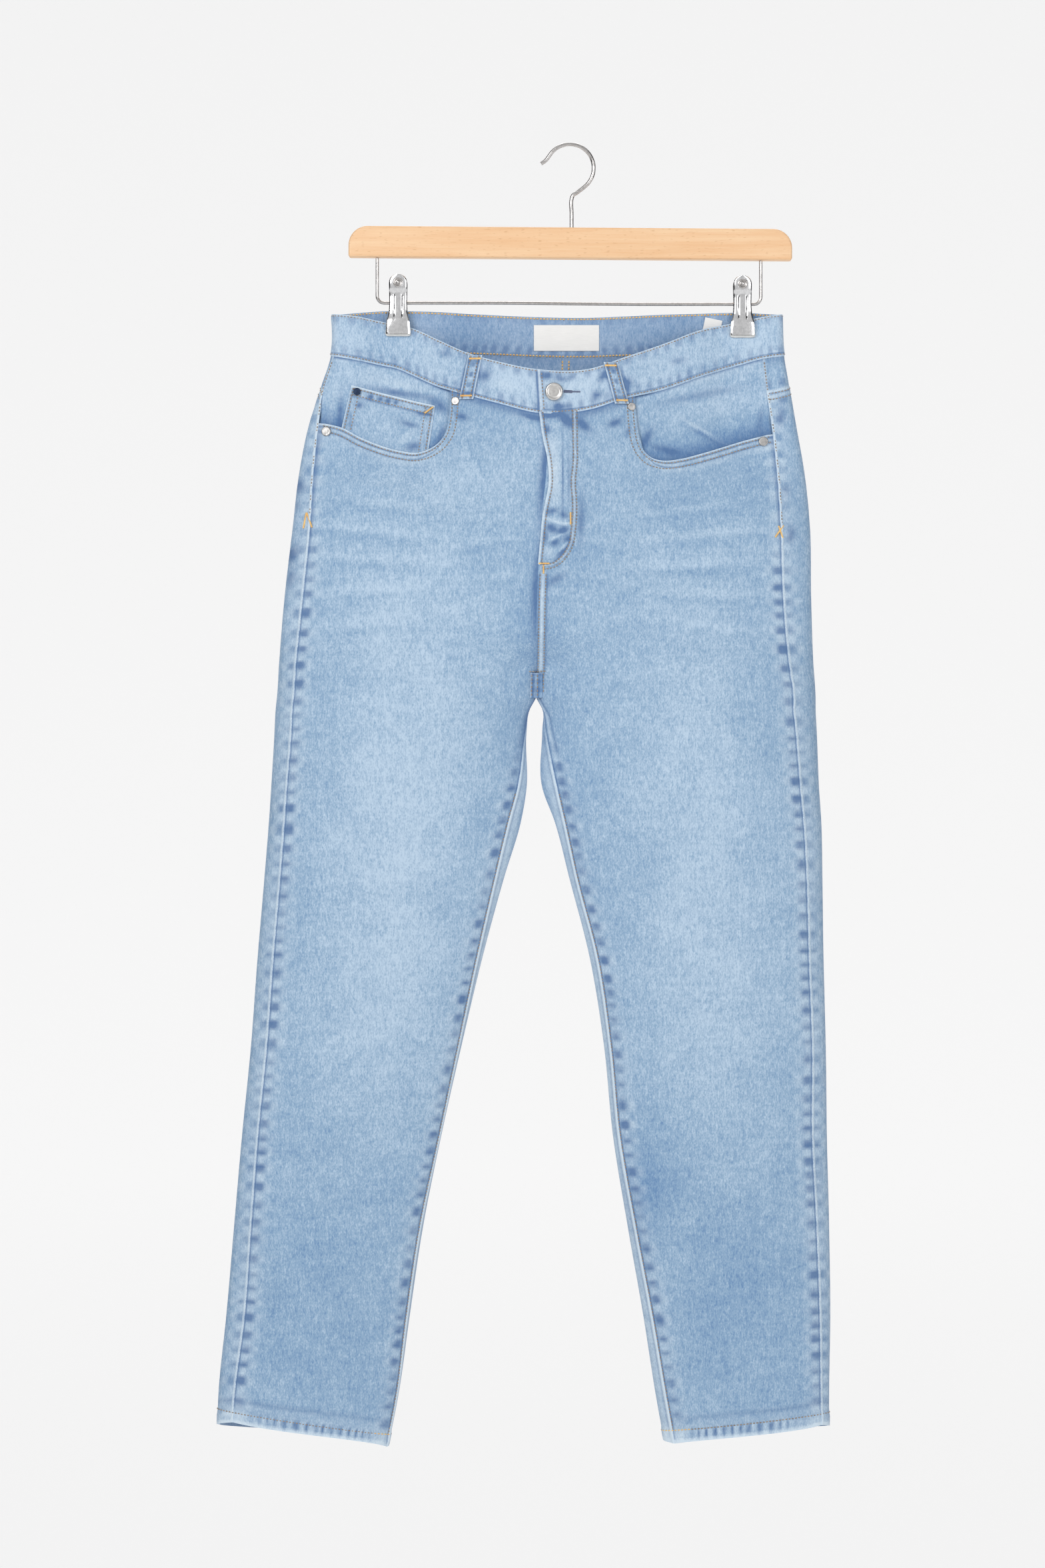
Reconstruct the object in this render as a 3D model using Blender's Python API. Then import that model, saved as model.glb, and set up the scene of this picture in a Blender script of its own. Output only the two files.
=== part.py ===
"""High-waisted mom jeans hanging by two clips from a wooden trouser hanger.

Sizes are millimetres and are turned into metres where a mesh is made.
X runs across the front, to the right as the front is seen.  The front faces
-Y.  Z is up.  The origin is the underside of the hanger's hook, at the top
of its bend, where a rail or a wall hook carries it.

The cloth is one closed sheet form, cut into panels at its seams.  A place on
it is given by a half of the garment, an angle round that half and a height:
angle 0 is the outer fold, +pi the front edge at the middle, -pi the back one.
"""

import math

import bmesh
import bpy
import numpy as np
from mathutils import Matrix, Vector

MM = 0.001
PI = math.pi

# Cloth thicknesses, and the gap left at each seam
DENIM = 1.2
WAISTBAND_THICK = 2.6
POCKETING = 1.0
COIN_CLOTH = 0.9
LOOP_THICK = 1.6
HEM_THICK = 2.8
SEAM_GAP = 0.36
LAYER_GAP = 0.4

# Heights of the crotch point, and of the stretch over which hips become legs
CROTCH_Z = -491.0
LEGS_BEGIN_Z = -425.0
# The row of points through the crotch meets the side seam this much lower
CROTCH_ROW_DROP = 12.0

# Heights where a seam's place is read: the front edge and the side seam at the waist
FRONT_EDGE_Z = -239.0
SIDE_WAIST_Z = -188.0
SIDE_ANGLE_Z = -203.0
# A wrap narrower than this is taken as none
LEAST_WRAP = 0.05

# Each half: the outer fold, the inner fold of the leg below the crotch, how far
# the back panel wraps to the front at the side seam, and at the inseam.
HALVES = {
    "right": (
        # height, outer, inner, side_wrap, inseam_wrap
        (-140, -212, -31, 3, 0),
        (-187, -213, -31, 3, 0),
        (-215, -222, -31, 3, 0),
        (-250, -233, -31, 9, 0),
        (-290, -241, -31, 13, 0),
        (-340, -247, -31, 16, 0),
        (-400, -254, -31, 17, 0),
        (-460, -259, -31, 16, 0),
        (-491, -261, -32, 16, 0),
        (-500, -262, -37, 16, 0),
        (-520, -263, -40, 16, 1),
        (-570, -266, -40, 15, 8),
        (-600, -268, -45, 15, 11),
        (-650, -272, -60, 15, 8),
        (-720, -278, -79, 15, 5),
        (-800, -284, -98, 15, 3),
        (-880, -292, -116, 15, 2),
        (-960, -299, -132, 16, 3),
        (-1040, -306, -144, 17, 3),
        (-1110, -313, -154, 15, 2),
        (-1165, -314, -165, 14, 2),
    ),
    "left": (
        (-140, 187, -31, 19, 0),
        (-187, 189, -31, 19, 0),
        (-215, 194, -31, 21, 0),
        (-250, 200, -31, 22, 0),
        (-290, 207, -31, 25, 0),
        (-340, 212, -31, 27, 0),
        (-400, 213, -31, 26, 0),
        (-460, 215, -31, 23, 0),
        (-491, 217, -30, 21, 0),
        (-500, 217, -25, 21, 0),
        (-520, 218, -25, 20, 3),
        (-570, 220, -25, 18, 13),
        (-600, 222, -14, 17, 9),
        (-650, 223, -1, 15, 7),
        (-720, 224, 17, 14, 7),
        (-800, 226, 30, 13, 6),
        (-880, 227, 38, 14, 6),
        (-960, 229, 51, 12, 7),
        (-1040, 230, 65, 10, 8),
        (-1110, 229, 76, 8, 9),
        (-1165, 229, 86, 7, 9),
    ),
}
HALF_COLUMNS = ("height", "outer", "inner", "side_wrap", "inseam_wrap")

# The middle seams above the crotch, as they hang
MIDDLE = (
    # height, front, back
    (-140, -28, -4),
    (-215, -23, -6),
    (-250, -21, -8),
    (-290, -22, -11),
    (-340, -27, -15),
    (-400, -30, -20),
    (-460, -31, -27),
    (-491, -31, -31),
    (-520, -31, -31),
)
MIDDLE_COLUMNS = ("height", "front", "back")

# How far the front and the back stand off the middle plane
DEPTH = (
    # height, front, back
    (-140, 14, 12),
    (-190, 17, 14),
    (-250, 25, 23),
    (-330, 32, 34),
    (-420, 35, 42),
    (-490, 34, 39),
    (-560, 32, 34),
    (-650, 29, 30),
    (-760, 26, 26),
    (-880, 23, 23),
    (-1000, 20, 20),
    (-1100, 18, 18),
    (-1165, 17, 17),
)
DEPTH_COLUMNS = ("height", "front", "back")

# The waistband along X: its edges, and its depth where the clips pinch it
WAIST = (
    # x, front_top, front_seam, back_top, back_seam, front_y, back_y
    (-213, -149.5, -187.0, -149.5, -187.0, -6.5, 6.5),
    (-188, -152.5, -191.5, -147.5, -186.5, -6.3, 6.3),
    (-168, -156.5, -195.5, -146.5, -186.0, -2.8, 2.8),
    (-154, -159.0, -198.5, -146.5, -185.5, -2.7, 2.7),
    (-140, -162.5, -204.5, -146.5, -185.0, -2.8, 2.8),
    (-120, -172.0, -214.0, -147.0, -185.0, -8.0, 3.2),
    (-95, -184.0, -222.0, -148.5, -185.5, -14.0, 4.0),
    (-65, -193.5, -230.5, -150.0, -186.5, -20.0, 4.4),
    (-29, -201.0, -239.5, -151.5, -188.0, -24.0, 4.6),
    (18, -200.0, -236.0, -152.0, -188.5, -23.0, 4.6),
    (45, -190.5, -227.0, -151.0, -187.5, -19.0, 4.4),
    (80, -178.0, -218.5, -149.5, -187.0, -13.0, 4.0),
    (118, -163.5, -205.0, -148.5, -186.5, -7.5, 3.2),
    (138, -159.0, -198.5, -148.0, -186.0, -2.8, 2.8),
    (152, -156.0, -194.5, -148.0, -186.0, -2.7, 2.7),
    (166, -153.0, -190.5, -148.5, -186.5, -2.8, 2.8),
    (189, -149.5, -187.0, -149.5, -187.0, -6.5, 6.5),
)
WAIST_COLUMNS = ("x", "front_top", "front_seam", "back_top", "back_seam", "front_y", "back_y")
WAIST_FOLD_REACH = 12.0
WAIST_HOLDS_TO_Z = -195.0
WAIST_LETS_GO_Z = -330.0

# Largest soft folds: a ridge (or a trough, when negative) on one face. They fade
# where the cloth lies this near the middle plane, and towards the hems.
FOLD_FADE_DEPTH = 12.0
FOLDS_END = (-1120.0, -1060.0)
FOLDS = (
    # side, x, z, half_length, half_width, lean_degrees, height
    ("front", -120, -300, 70, 22, -38, -2.5),
    ("front", 118, -312, 75, 24, 40, -2.5),
    ("front", -60, -345, 80, 24, 12, 2.0),
    ("front", -190, -560, 90, 30, 20, 3.0),
    ("front", 130, -540, 90, 30, -24, 3.0),
    ("front", 60, -895, 70, 22, -14, -3.5),
    ("front", 150, -930, 75, 24, 8, 3.0),
    ("front", -200, -905, 80, 24, 16, -3.0),
    ("front", -240, -1020, 70, 26, -60, 2.5),
    ("back", -125, -505, 62, 30, 22, -4.0),
    ("back", 85, -510, 62, 30, -22, -4.0),
    ("back", -170, -545, 80, 26, 18, 3.5),
    ("back", 130, -560, 80, 26, -20, 3.5),
    ("back", -190, -880, 75, 22, 10, -4.5),
    ("back", 130, -890, 75, 22, -10, -4.5),
    ("back", -200, -940, 75, 24, -6, 3.5),
    ("back", 140, -950, 75, 24, 8, 3.5),
)

# Front pocket mouths, from the side seam round to the waist seam
SCOOPS = {
    "right": ((-220, -247), (-204, -251), (-187, -260), (-167, -268), (-150, -272.5), (-137, -274),
              (-126, -271), (-117, -265), (-111, -256), (-108.5, -245), (-107, -218)),
    "left": ((176, -257), (153, -263), (134, -269), (115, -275), (96, -280), (80, -281.5),
             (70, -278.5), (63.5, -272), (59.5, -262), (57.5, -247), (56, -224)),
}
# Facing behind each mouth: its lower edge, hidden under the front panel
FACING_UNDERLAP = 9.0

# Coin pocket on the right facing, corners in X and Z
COIN_POCKET = {"top_outer": (-195, -213), "top_inner": (-121, -231.5),
               "low_outer": (-205, -256), "low_inner": (-127, -276)}

# Yoke seam at the back: height at the side seam, at the fold and at the middle
YOKE = {"side": -219.0, "fold": -213.0, "middle": -262.0}

# Back pockets: a plain five-sided patch on each back panel. The last two values
# are heights where the middle seam and the yoke seam are read.
BACK_POCKET = {"from_middle": 48.0, "top_width": 132.0, "low_width": 112.0,
               "side_height": 120.0, "point": 18.0, "below_yoke": 26.0, "clear": 0.4,
               "middle_z": -300.0, "yoke_z": -250.0}

# Hem ends of each leg, at the outer and at the inner fold
HEMS = {"right": (-1132.5, -1155.0), "left": (-1132.5, -1151.5)}
HEM_HEIGHT = 11.0
# The wall thickens over this share of the hem's height
HEM_STEP = 1.25

# Rows of each panel: spaces down to the crotch, then down to the hem
HIP_ROWS = 8
LEG_ROWS = 19
# Rows over which a back panel takes up the slope of its yoke seam
YOKE_FADE_ROWS = 4.0
FRONT_COLUMNS = 12
BACK_COLUMNS = 17
# Points of the smaller pieces: columns, rows
FACING_GRID = (11, 7)
COIN_GRID = (8, 6)
BACK_POCKET_GRID = (9, 8)
FLY_GRID = (4, 8)
BELT_LOOP_GRID = (3, 6)
LABEL_GRID = (6, 3)
PAD_GRID = (4, 3)

# Spaces along the waist seam: front edge to pocket mouth, mouth to clip, clip to side seam
SEAM_FRONT_SPACES = 4
SEAM_MOUTH_SPACES = 3
SEAM_SIDE_SPACES = {"right": 3, "left": 1}
PINCH_REACH = 14.0

# Fly, behind the front edge of the left half
FLY = {"from_middle": 1.5, "zip_width": 24.0, "shield_width": 30.0, "top": -244.0, "bottom": -372.0}

BELT_LOOP_WIDTH = 12.4
# Belt loops: the face they are on, X at the top and at the bottom
BELT_LOOPS = (
    ("front", -84.5, -92.5),
    ("front", 34.5, 44.5),
    ("back", -193.0, -193.0),
    ("back", -3.5, -3.5),
    ("back", 171.2, 171.2),
)
BELT_LOOP_BELOW_SEAM = 4.0

BUTTON = {"x": -15.3, "z": -221.0, "diameter": 16.0, "height": 3.2}
RIVET_HEIGHT = 1.3
# A dome's rim and crown, as shares of its radius and its height
DOME = {"foot": 0.92, "rim_low": 0.25, "rim_top": 0.45, "crown": 0.12}
# Rivets at the ends of the pocket mouths
RIVETS = (
    # name, x, z, diameter, clearance over the bend of the cloth
    ("rivet_right_side", -217.0, -254.5, 8.4, 1.0),
    ("rivet_right_waist", -102.4, -228.0, 7.4, 0.5),
    ("rivet_left_waist", 53.2, -233.5, 7.2, 0.5),
    ("rivet_left_side", 170.5, -263.5, 8.4, 1.0),
)
COIN_RIVET = {"x": -190.0, "z": -219.0, "diameter": 6.6, "height": 1.0}

MAIN_LABEL = {"left": -33.0, "right": 25.0, "top": -158.7, "bottom": -181.7, "thick": 0.5}
CARE_LABEL = {"left": 116.5, "right": 132.0, "top": -153.2, "bottom": -181.0, "thick": 0.4}

# Hanger
BAR = {"length": 394.0, "height": 27.6, "thick": 13.0, "x": -0.6, "z": -86.6,
       "tilt_degrees": 0.43, "top_radius": 17.0, "low_radius": 2.2, "edge": 2.0}
HOOK = {"wire": 3.6, "x": -1.0, "radius": 21.2, "stem_x": 0.6, "stem_bottom": -72.45,
        "neck_drop": 25.5, "shoulder_x": 5.5, "shoulder_drop": 21.8,
        "bend_start": -52, "bend_step": 15.5, "bend_points": 14}
# The hook's flared tip, from the end of its bend
HOOK_TIP = (
    # left, down
    (4.5, 5.5),
    (8.5, 8.0),
)
ROD = {"wire": 3.0, "left": -172.3, "right": 168.7, "left_z": -139.4, "right_z": -140.6, "bend": 6.0,
       "gap": 0.35}

# Clips: middle, top and how low they grip
CLIPS = {"right": (-153.6, -114.6), "left": (152.4, -115.8)}
CLIP = {"plate": 1.0, "pad_width": 23.0, "pad_height": 14.4, "pad_thick": 2.2}
# Line of a clip's plate from its top to its jaw: height below the top, distance out
CLIP_LINE = ((0.0, 6.4), (12.0, 5.8), (17.0, 4.7), (25.0, 4.7), (34.0, 5.6), (41.0, 7.4), (53.5, 7.4))
# Width of the plate: height below the top, width
CLIP_WIDTH = ((0.0, 7.0), (1.5, 11.0), (4.0, 16.0), (25.0, 16.0),
              (38.0, 17.5), (41.0, 21.0), (53.0, 21.0))
# Heights below the top at which the plate bends or changes its width
CLIP_ROWS = (0.0, 1.5, 4.0, 8.0, 14.0, 20.0, 25.0, 30.0, 34.0, 38.0, 41.0, 47.0, 53.0)
CLIP_JAW_FACE = 4.4
CLIP_PAD_TOP = 40.6
CLIP_RIVET_DROP = 7.2
CLIP_BOW = 0.8
CLIP_RIVET = {"diameter": 8.6, "height": 2.2}
CLIP_SPRING = {"inner": 1.9, "outer": 3.8, "width": 9.0, "segments": 14}

# Edges sharper than this stay sharp
SHARP_DEGREES = 35.0


def clear_scene():
    """Remove every object that the file starts with."""
    for item in list(bpy.data.objects):
        bpy.data.objects.remove(item, do_unlink=True)


def column(table, names, name):
    """Return a smooth function through one column of a table, over its first."""
    rows = np.array(table, dtype=float)
    order = np.argsort(rows[:, 0])
    at = rows[order, 0]
    value = rows[order, names.index(name)]
    slope = np.gradient(value, at)

    def read(where):
        place = np.clip(np.asarray(where, dtype=float), at[0], at[-1])
        low = np.clip(np.searchsorted(at, place) - 1, 0, len(at) - 2)
        span = at[low + 1] - at[low]
        t = (place - at[low]) / span
        start = (1 + 2 * t) * (1 - t) ** 2 * value[low] + t * (1 - t) ** 2 * span * slope[low]
        end = t * t * (3 - 2 * t) * value[low + 1] - t * t * (1 - t) * span * slope[low + 1]
        return start + end

    return read


def smoothstep(low, high, value):
    """Rise softly from 0 at low to 1 at high."""
    t = np.clip((value - low) / (high - low), 0.0, 1.0)
    return t * t * (3 - 2 * t)


HALF = {side: {name: column(rows, HALF_COLUMNS, name) for name in HALF_COLUMNS[1:]}
        for side, rows in HALVES.items()}
MID = {name: column(MIDDLE, MIDDLE_COLUMNS, name) for name in MIDDLE_COLUMNS[1:]}
DEEP = {name: column(DEPTH, DEPTH_COLUMNS, name) for name in DEPTH_COLUMNS[1:]}
BAND = {name: column(WAIST, WAIST_COLUMNS, name) for name in WAIST_COLUMNS[1:]}


def fold_relief(side, x, z):
    """Sum the soft ridges of one face, each a bell across and along its line."""
    total = np.zeros(np.broadcast(x, z).shape)
    for face, mid_x, mid_z, half_length, half_width, lean, height in FOLDS:
        if face != side:
            continue
        turn = math.radians(lean)
        along = (x - mid_x) * math.cos(turn) + (z - mid_z) * math.sin(turn)
        across = (z - mid_z) * math.cos(turn) - (x - mid_x) * math.sin(turn)
        total = total + height * np.exp(-(along / half_length) ** 2 - (across / half_width) ** 2)
    return total


def hips_y(side, x, z):
    """Depth of the hips: an ellipse low down, the pinched waistband line above."""
    right = HALF["right"]["outer"](z)
    left = HALF["left"]["outer"](z)
    t = np.clip((x - right) / (left - right), 0.0, 1.0)
    ellipse = 2.0 * np.sqrt(t * (1.0 - t))
    from_fold = np.minimum(x - right, left - x)
    near = np.clip(1.0 - from_fold / WAIST_FOLD_REACH, 0.0, 1.0)
    pinched = np.abs(BAND[side + "_y"](x)) * np.sqrt(1.0 - near * near)
    hold = smoothstep(WAIST_LETS_GO_Z, WAIST_HOLDS_TO_Z, z)
    return DEEP[side](z) * ellipse * (1.0 - hold) + pinched * hold


def cloth(half, angle, z):
    """Return the point of the cloth's middle layer at an angle and a height."""
    angle = np.asarray(angle, dtype=float)
    z = np.asarray(z, dtype=float)
    angle, z = np.broadcast_arrays(angle, z)
    angle = np.where(angle < -PI - 1e-9, angle + 2 * PI, angle)
    front = angle >= 0.0
    turn = np.abs(angle)
    outer = HALF[half]["outer"](z)
    middle = np.where(front, MID["front"](z), MID["back"](z))
    inner = np.where(z > CROTCH_Z, middle, HALF[half]["inner"](z))
    legs = smoothstep(LEGS_BEGIN_Z, CROTCH_Z, z)
    across = (1.0 - legs) * (1.0 - np.cos(turn / 2)) + legs * (1.0 - np.cos(turn)) / 2
    x = outer + (inner - outer) * across
    hips = np.where(front, hips_y("front", x, z), hips_y("back", x, z))
    leg = np.where(front, DEEP["front"](z), DEEP["back"](z)) * np.sin(turn)
    out = (1.0 - legs) * hips + legs * leg
    relief = np.where(front, fold_relief("front", x, z), fold_relief("back", x, z))
    fade = np.clip(out / FOLD_FADE_DEPTH, 0.0, 1.0)
    out = out + relief * fade * fade * smoothstep(*FOLDS_END, z)
    y = np.where(front, -out, out)
    return np.stack([x, y, z], axis=-1)


def cloth_normal(half, angle, z):
    """Return the outward direction at a place on the cloth."""
    step_angle = 0.01
    step_z = 1.0
    hips = np.asarray(z) >= CROTCH_Z
    ahead = np.where(hips, np.clip(angle + step_angle, -PI, PI), angle + step_angle)
    behind = np.where(hips, np.clip(angle - step_angle, -PI, PI), angle - step_angle)
    round_it = cloth(half, ahead, z) - cloth(half, behind, z)
    down_it = cloth(half, angle, z + step_z) - cloth(half, angle, z - step_z)
    normal = np.cross(round_it, down_it)
    if half == "left":
        normal = -normal
    return normal / np.linalg.norm(normal, axis=-1, keepdims=True)


def angle_at(half, side, x, z):
    """Find the angle whose point has a given X, by halving the interval."""
    x, z = np.broadcast_arrays(np.asarray(x, dtype=float), np.asarray(z, dtype=float))
    low = np.zeros(x.shape)
    high = np.full(x.shape, PI)
    sign = 1.0 if side == "front" else -1.0
    outwards = -1.0 if half == "right" else 1.0
    for _ in range(40):
        middle = (low + high) / 2
        too_far_out = (cloth(half, sign * middle, z)[..., 0] - x) * outwards > 0
        low = np.where(too_far_out, middle, low)
        high = np.where(too_far_out, high, middle)
    return sign * (low + high) / 2


def side_seam(half, z):
    """Angle of the side seam, which lies on the front by the back panel's wrap."""
    inwards = 1.0 if half == "right" else -1.0
    return angle_at(half, "front", HALF[half]["outer"](z) + inwards * HALF[half]["side_wrap"](z), z)


def inner_seam(half, z):
    """Angle of the front panel's inner edge: the middle seam, then the inseam."""
    outwards = -1.0 if half == "right" else 1.0
    wrap = HALF[half]["inseam_wrap"](z)
    found = angle_at(half, "front", HALF[half]["inner"](z) + outwards * wrap, z)
    return np.where((z >= CROTCH_Z) | (wrap < LEAST_WRAP), PI, found)


def along(points, shares):
    """Read places along a polyline at shares of its length."""
    line = np.array(points, dtype=float)
    steps = np.hypot(*np.diff(line, axis=0).T)
    length = np.concatenate([[0.0], np.cumsum(steps)]) / steps.sum()
    return np.stack([np.interp(shares, length, line[:, i]) for i in range(line.shape[1])], axis=-1)


def material(name, colour, roughness, metallic=0.0):
    """Make a Principled material."""
    made = bpy.data.materials.new(name)
    made.use_nodes = True
    shader = made.node_tree.nodes["Principled BSDF"]
    shader.inputs["Base Color"].default_value = (*colour, 1.0)
    shader.inputs["Roughness"].default_value = roughness
    shader.inputs["Metallic"].default_value = metallic
    return made


def add_object(name, verts, faces, paint, smooth=True):
    """Make a mesh object from points in millimetres, with faces turned out."""
    mesh = bpy.data.meshes.new(name)
    mesh.from_pydata([tuple(MM * float(c) for c in v) for v in verts], [], faces)
    work = bmesh.new()
    work.from_mesh(mesh)
    bmesh.ops.recalc_face_normals(work, faces=work.faces)
    work.to_mesh(mesh)
    work.free()
    if smooth:
        mesh.shade_smooth()
        mesh.set_sharp_from_angle(angle=math.radians(SHARP_DEGREES))
    made = bpy.data.objects.new(name, mesh)
    mesh.materials.append(paint)
    bpy.context.scene.collection.objects.link(made)
    return made


def keep_to_half(points, half):
    """Stop points of one half just short of the middle seam, where the halves meet."""
    z = points[..., 2]
    side_middle = np.where(points[..., 1] < 0.0, MID["front"](z), MID["back"](z))
    held = points.copy()
    if half == "right":
        held[..., 0] = np.minimum(points[..., 0], side_middle - SEAM_GAP / 2)
    else:
        held[..., 0] = np.maximum(points[..., 0], side_middle + SEAM_GAP / 2)
    return held


def thicken(name, points, normals, thick, paint, half=None):
    """Close a grid of points into a wall, half of it on each side of the grid."""
    rows, columns = points.shape[:2]
    off = np.broadcast_to(np.asarray(thick, dtype=float), (rows, columns))[..., None] / 2
    outer = points + normals * off
    inner = points - normals * off
    if half:
        outer = keep_to_half(outer, half)
        inner = keep_to_half(inner, half)
    verts = np.concatenate([outer.reshape(-1, 3), inner.reshape(-1, 3)])
    number = np.arange(rows * columns).reshape(rows, columns)
    below = rows * columns
    faces = []
    for i in range(rows - 1):
        for j in range(columns - 1):
            a, b, c, d = number[i, j], number[i, j + 1], number[i + 1, j + 1], number[i + 1, j]
            faces.append((a, b, c, d))
            faces.append((a + below, d + below, c + below, b + below))
    rim = list(number[0, :]) + list(number[1:, -1]) + list(number[-1, -2::-1]) + list(number[-2:0:-1, 0])
    for a, b in zip(rim, rim[1:] + rim[:1]):
        faces.append((a, a + below, b + below, b))
    return add_object(name, verts, [tuple(int(i) for i in face) for face in faces], paint)


def trim(angle, z, half, top=True, bottom=True, first=True, last=True):
    """Pull the edges of a grid in by half a seam gap, measured on the cloth."""
    angle = angle.copy()
    z = z.copy()
    points = cloth(half, angle, z)

    def pull(edge, inside):
        length = np.linalg.norm(points[inside] - points[edge], axis=-1)
        share = np.minimum(SEAM_GAP / 2 / np.maximum(length, 1e-6), 0.4)
        angle[edge] += (angle[inside] - angle[edge]) * share
        z[edge] += (z[inside] - z[edge]) * share

    everything = slice(None)
    if top:
        pull((0, everything), (1, everything))
    if bottom:
        pull((-1, everything), (-2, everything))
    if first:
        pull((everything, 0), (everything, 1))
    if last:
        pull((everything, -1), (everything, -2))
    return angle, z


def patch(name, half, angle, z, thick, outwards, paint):
    """Make a wall on the cloth, moved out (or in, when negative) along its normal."""
    normals = cloth_normal(half, angle, z)
    points = cloth(half, angle, z) + normals * outwards
    return thicken(name, points, normals, thick, paint, half)


def inner_heights(half):
    """Heights of the rows at the middle seam and the inseam, the crotch among them."""
    upper = np.linspace(float(BAND["front_seam"](MID["front"](FRONT_EDGE_Z))), CROTCH_Z, HIP_ROWS + 1)
    lower = np.linspace(CROTCH_Z, HEMS[half][1], LEG_ROWS + 1)
    return np.concatenate([upper, lower[1:]])


def outer_heights(half):
    """Heights of the same rows at the side seam."""
    crotch_row = CROTCH_Z - CROTCH_ROW_DROP
    upper = np.linspace(SCOOPS[half][0][1], crotch_row, HIP_ROWS + 1)
    lower = np.linspace(crotch_row, HEMS[half][0], LEG_ROWS + 1)
    return np.concatenate([upper, lower[1:]])


def add_hem_rows(angle, z):
    """Put two rows above the last one, at the hem's upper edge."""
    share = HEM_HEIGHT / (z[-2] - z[-1])
    low = 1.0 - share
    high = 1.0 - share * HEM_STEP
    angle_low = angle[-2] + (angle[-1] - angle[-2]) * low
    z_low = z[-2] + (z[-1] - z[-2]) * low
    angle_high = angle[-2] + (angle[-1] - angle[-2]) * high
    z_high = z[-2] + (z[-1] - z[-2]) * high
    angle = np.vstack([angle[:-1], angle_high, angle_low, angle[-1:]])
    z = np.vstack([z[:-1], z_high, z_low, z[-1:]])
    return angle, z


def pinch_edges(half):
    """X of the flat stretch that a clip presses, its inner and its outer end."""
    inwards = 1.0 if half == "right" else -1.0
    clip_x = CLIPS[half][0]
    return clip_x + inwards * PINCH_REACH, clip_x - inwards * PINCH_REACH


def waist_seam(half):
    """Places along the waist seam: front edge, pocket mouth, side seam, back middle.

    The pieces above and below the seam share them, so their edges stay parallel.
    """
    edge_x = float(MID["front"](FRONT_EDGE_Z))
    front_x = np.linspace(edge_x, SCOOPS[half][-1][0], SEAM_FRONT_SPACES + 1)
    start = float(side_seam(half, np.array(SIDE_ANGLE_Z)))
    start_x = float(cloth(half, start, SIDE_WAIST_Z)[0])
    near, far = pinch_edges(half)
    before = np.linspace(SCOOPS[half][-1][0], near, SEAM_MOUTH_SPACES + 1)[1:]
    after = np.linspace(far, start_x, SEAM_SIDE_SPACES[half] + 1)[:-1]
    x = np.concatenate([front_x, before, [(near + far) / 2], after])
    z = BAND["front_seam"](x)
    angle = angle_at(half, "front", x, z)
    angle[0] = PI
    round_angle = start + (-PI - start) * np.linspace(0.0, 1.0, BACK_COLUMNS)
    for edge in (far, near):
        wanted = float(angle_at(half, "back", edge, SIDE_WAIST_Z))
        round_angle[np.argmin(np.abs(round_angle - wanted))] = wanted
    round_x = cloth(half, round_angle, SIDE_WAIST_Z)[:, 0]
    round_z = np.where(round_angle >= 0.0, BAND["front_seam"](round_x), BAND["back_seam"](round_x))
    return np.concatenate([angle, round_angle]), np.concatenate([z, round_z])


def front_grid(half, columns, rows_outer, rows_inner):
    """Angles and heights of a front panel, from its pocket mouth to its hem."""
    share = np.linspace(0.0, 1.0, columns)
    start = side_seam(half, rows_outer)
    end = inner_seam(half, rows_inner)
    angle = start[:, None] + (end - start)[:, None] * share
    z = rows_outer[:, None] + (rows_inner - rows_outer)[:, None] * share
    seam_angle, seam_z = waist_seam(half)
    mouth = along(SCOOPS[half], np.linspace(0.0, 1.0, columns - SEAM_FRONT_SPACES)[:-1])
    mouth[0] = (cloth(half, start[0], rows_outer[0])[0], rows_outer[0])
    mouth_angle = angle_at(half, "front", mouth[:, 0], mouth[:, 1])
    top_angle = np.concatenate([mouth_angle, seam_angle[SEAM_FRONT_SPACES::-1]])
    top_z = np.concatenate([mouth[:, 1], seam_z[SEAM_FRONT_SPACES::-1]])
    fade = np.clip(1.0 - np.arange(len(rows_outer)) / HIP_ROWS, 0.0, 1.0)[:, None] ** 2
    angle = angle + fade * (top_angle - angle[0])
    z = z + fade * (top_z - z[0])
    return angle, z


def yoke_height(half, angle):
    """Height of the yoke seam: level on the wrap, then down to the middle."""
    share = np.clip(-angle / PI, 0.0, 1.0)
    wrap = np.clip(angle / np.maximum(side_seam(half, YOKE["side"]), 0.05), 0.0, 1.0)
    down = YOKE["fold"] + (YOKE["middle"] - YOKE["fold"]) * (1.0 - np.cos(share * PI / 2))
    return np.where(angle > 0.0, YOKE["fold"] + (YOKE["side"] - YOKE["fold"]) * wrap, down)


def back_grid(half, columns, rows_outer, rows_inner):
    """Angles and heights of a back panel, from its yoke seam to its hem."""
    outer = np.concatenate([[YOKE["side"]], rows_outer])
    hip = np.linspace(YOKE["middle"], CROTCH_Z, HIP_ROWS + 2)
    inner = np.concatenate([hip, rows_inner[HIP_ROWS + 1:]])
    share = np.linspace(0.0, 1.0, columns)
    start = side_seam(half, outer)
    end = inner_seam(half, inner)
    end = np.where(inner >= CROTCH_Z, -PI, end - 2 * PI)
    angle = start[:, None] + (end - start)[:, None] * share
    z = outer[:, None] + (inner - outer)[:, None] * share
    top = yoke_height(half, angle[0])
    fade = np.clip(1.0 - np.arange(len(outer)) / YOKE_FADE_ROWS, 0.0, 1.0)[:, None] ** 2
    z = z + fade * (top - z[0])
    return angle, z


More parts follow.
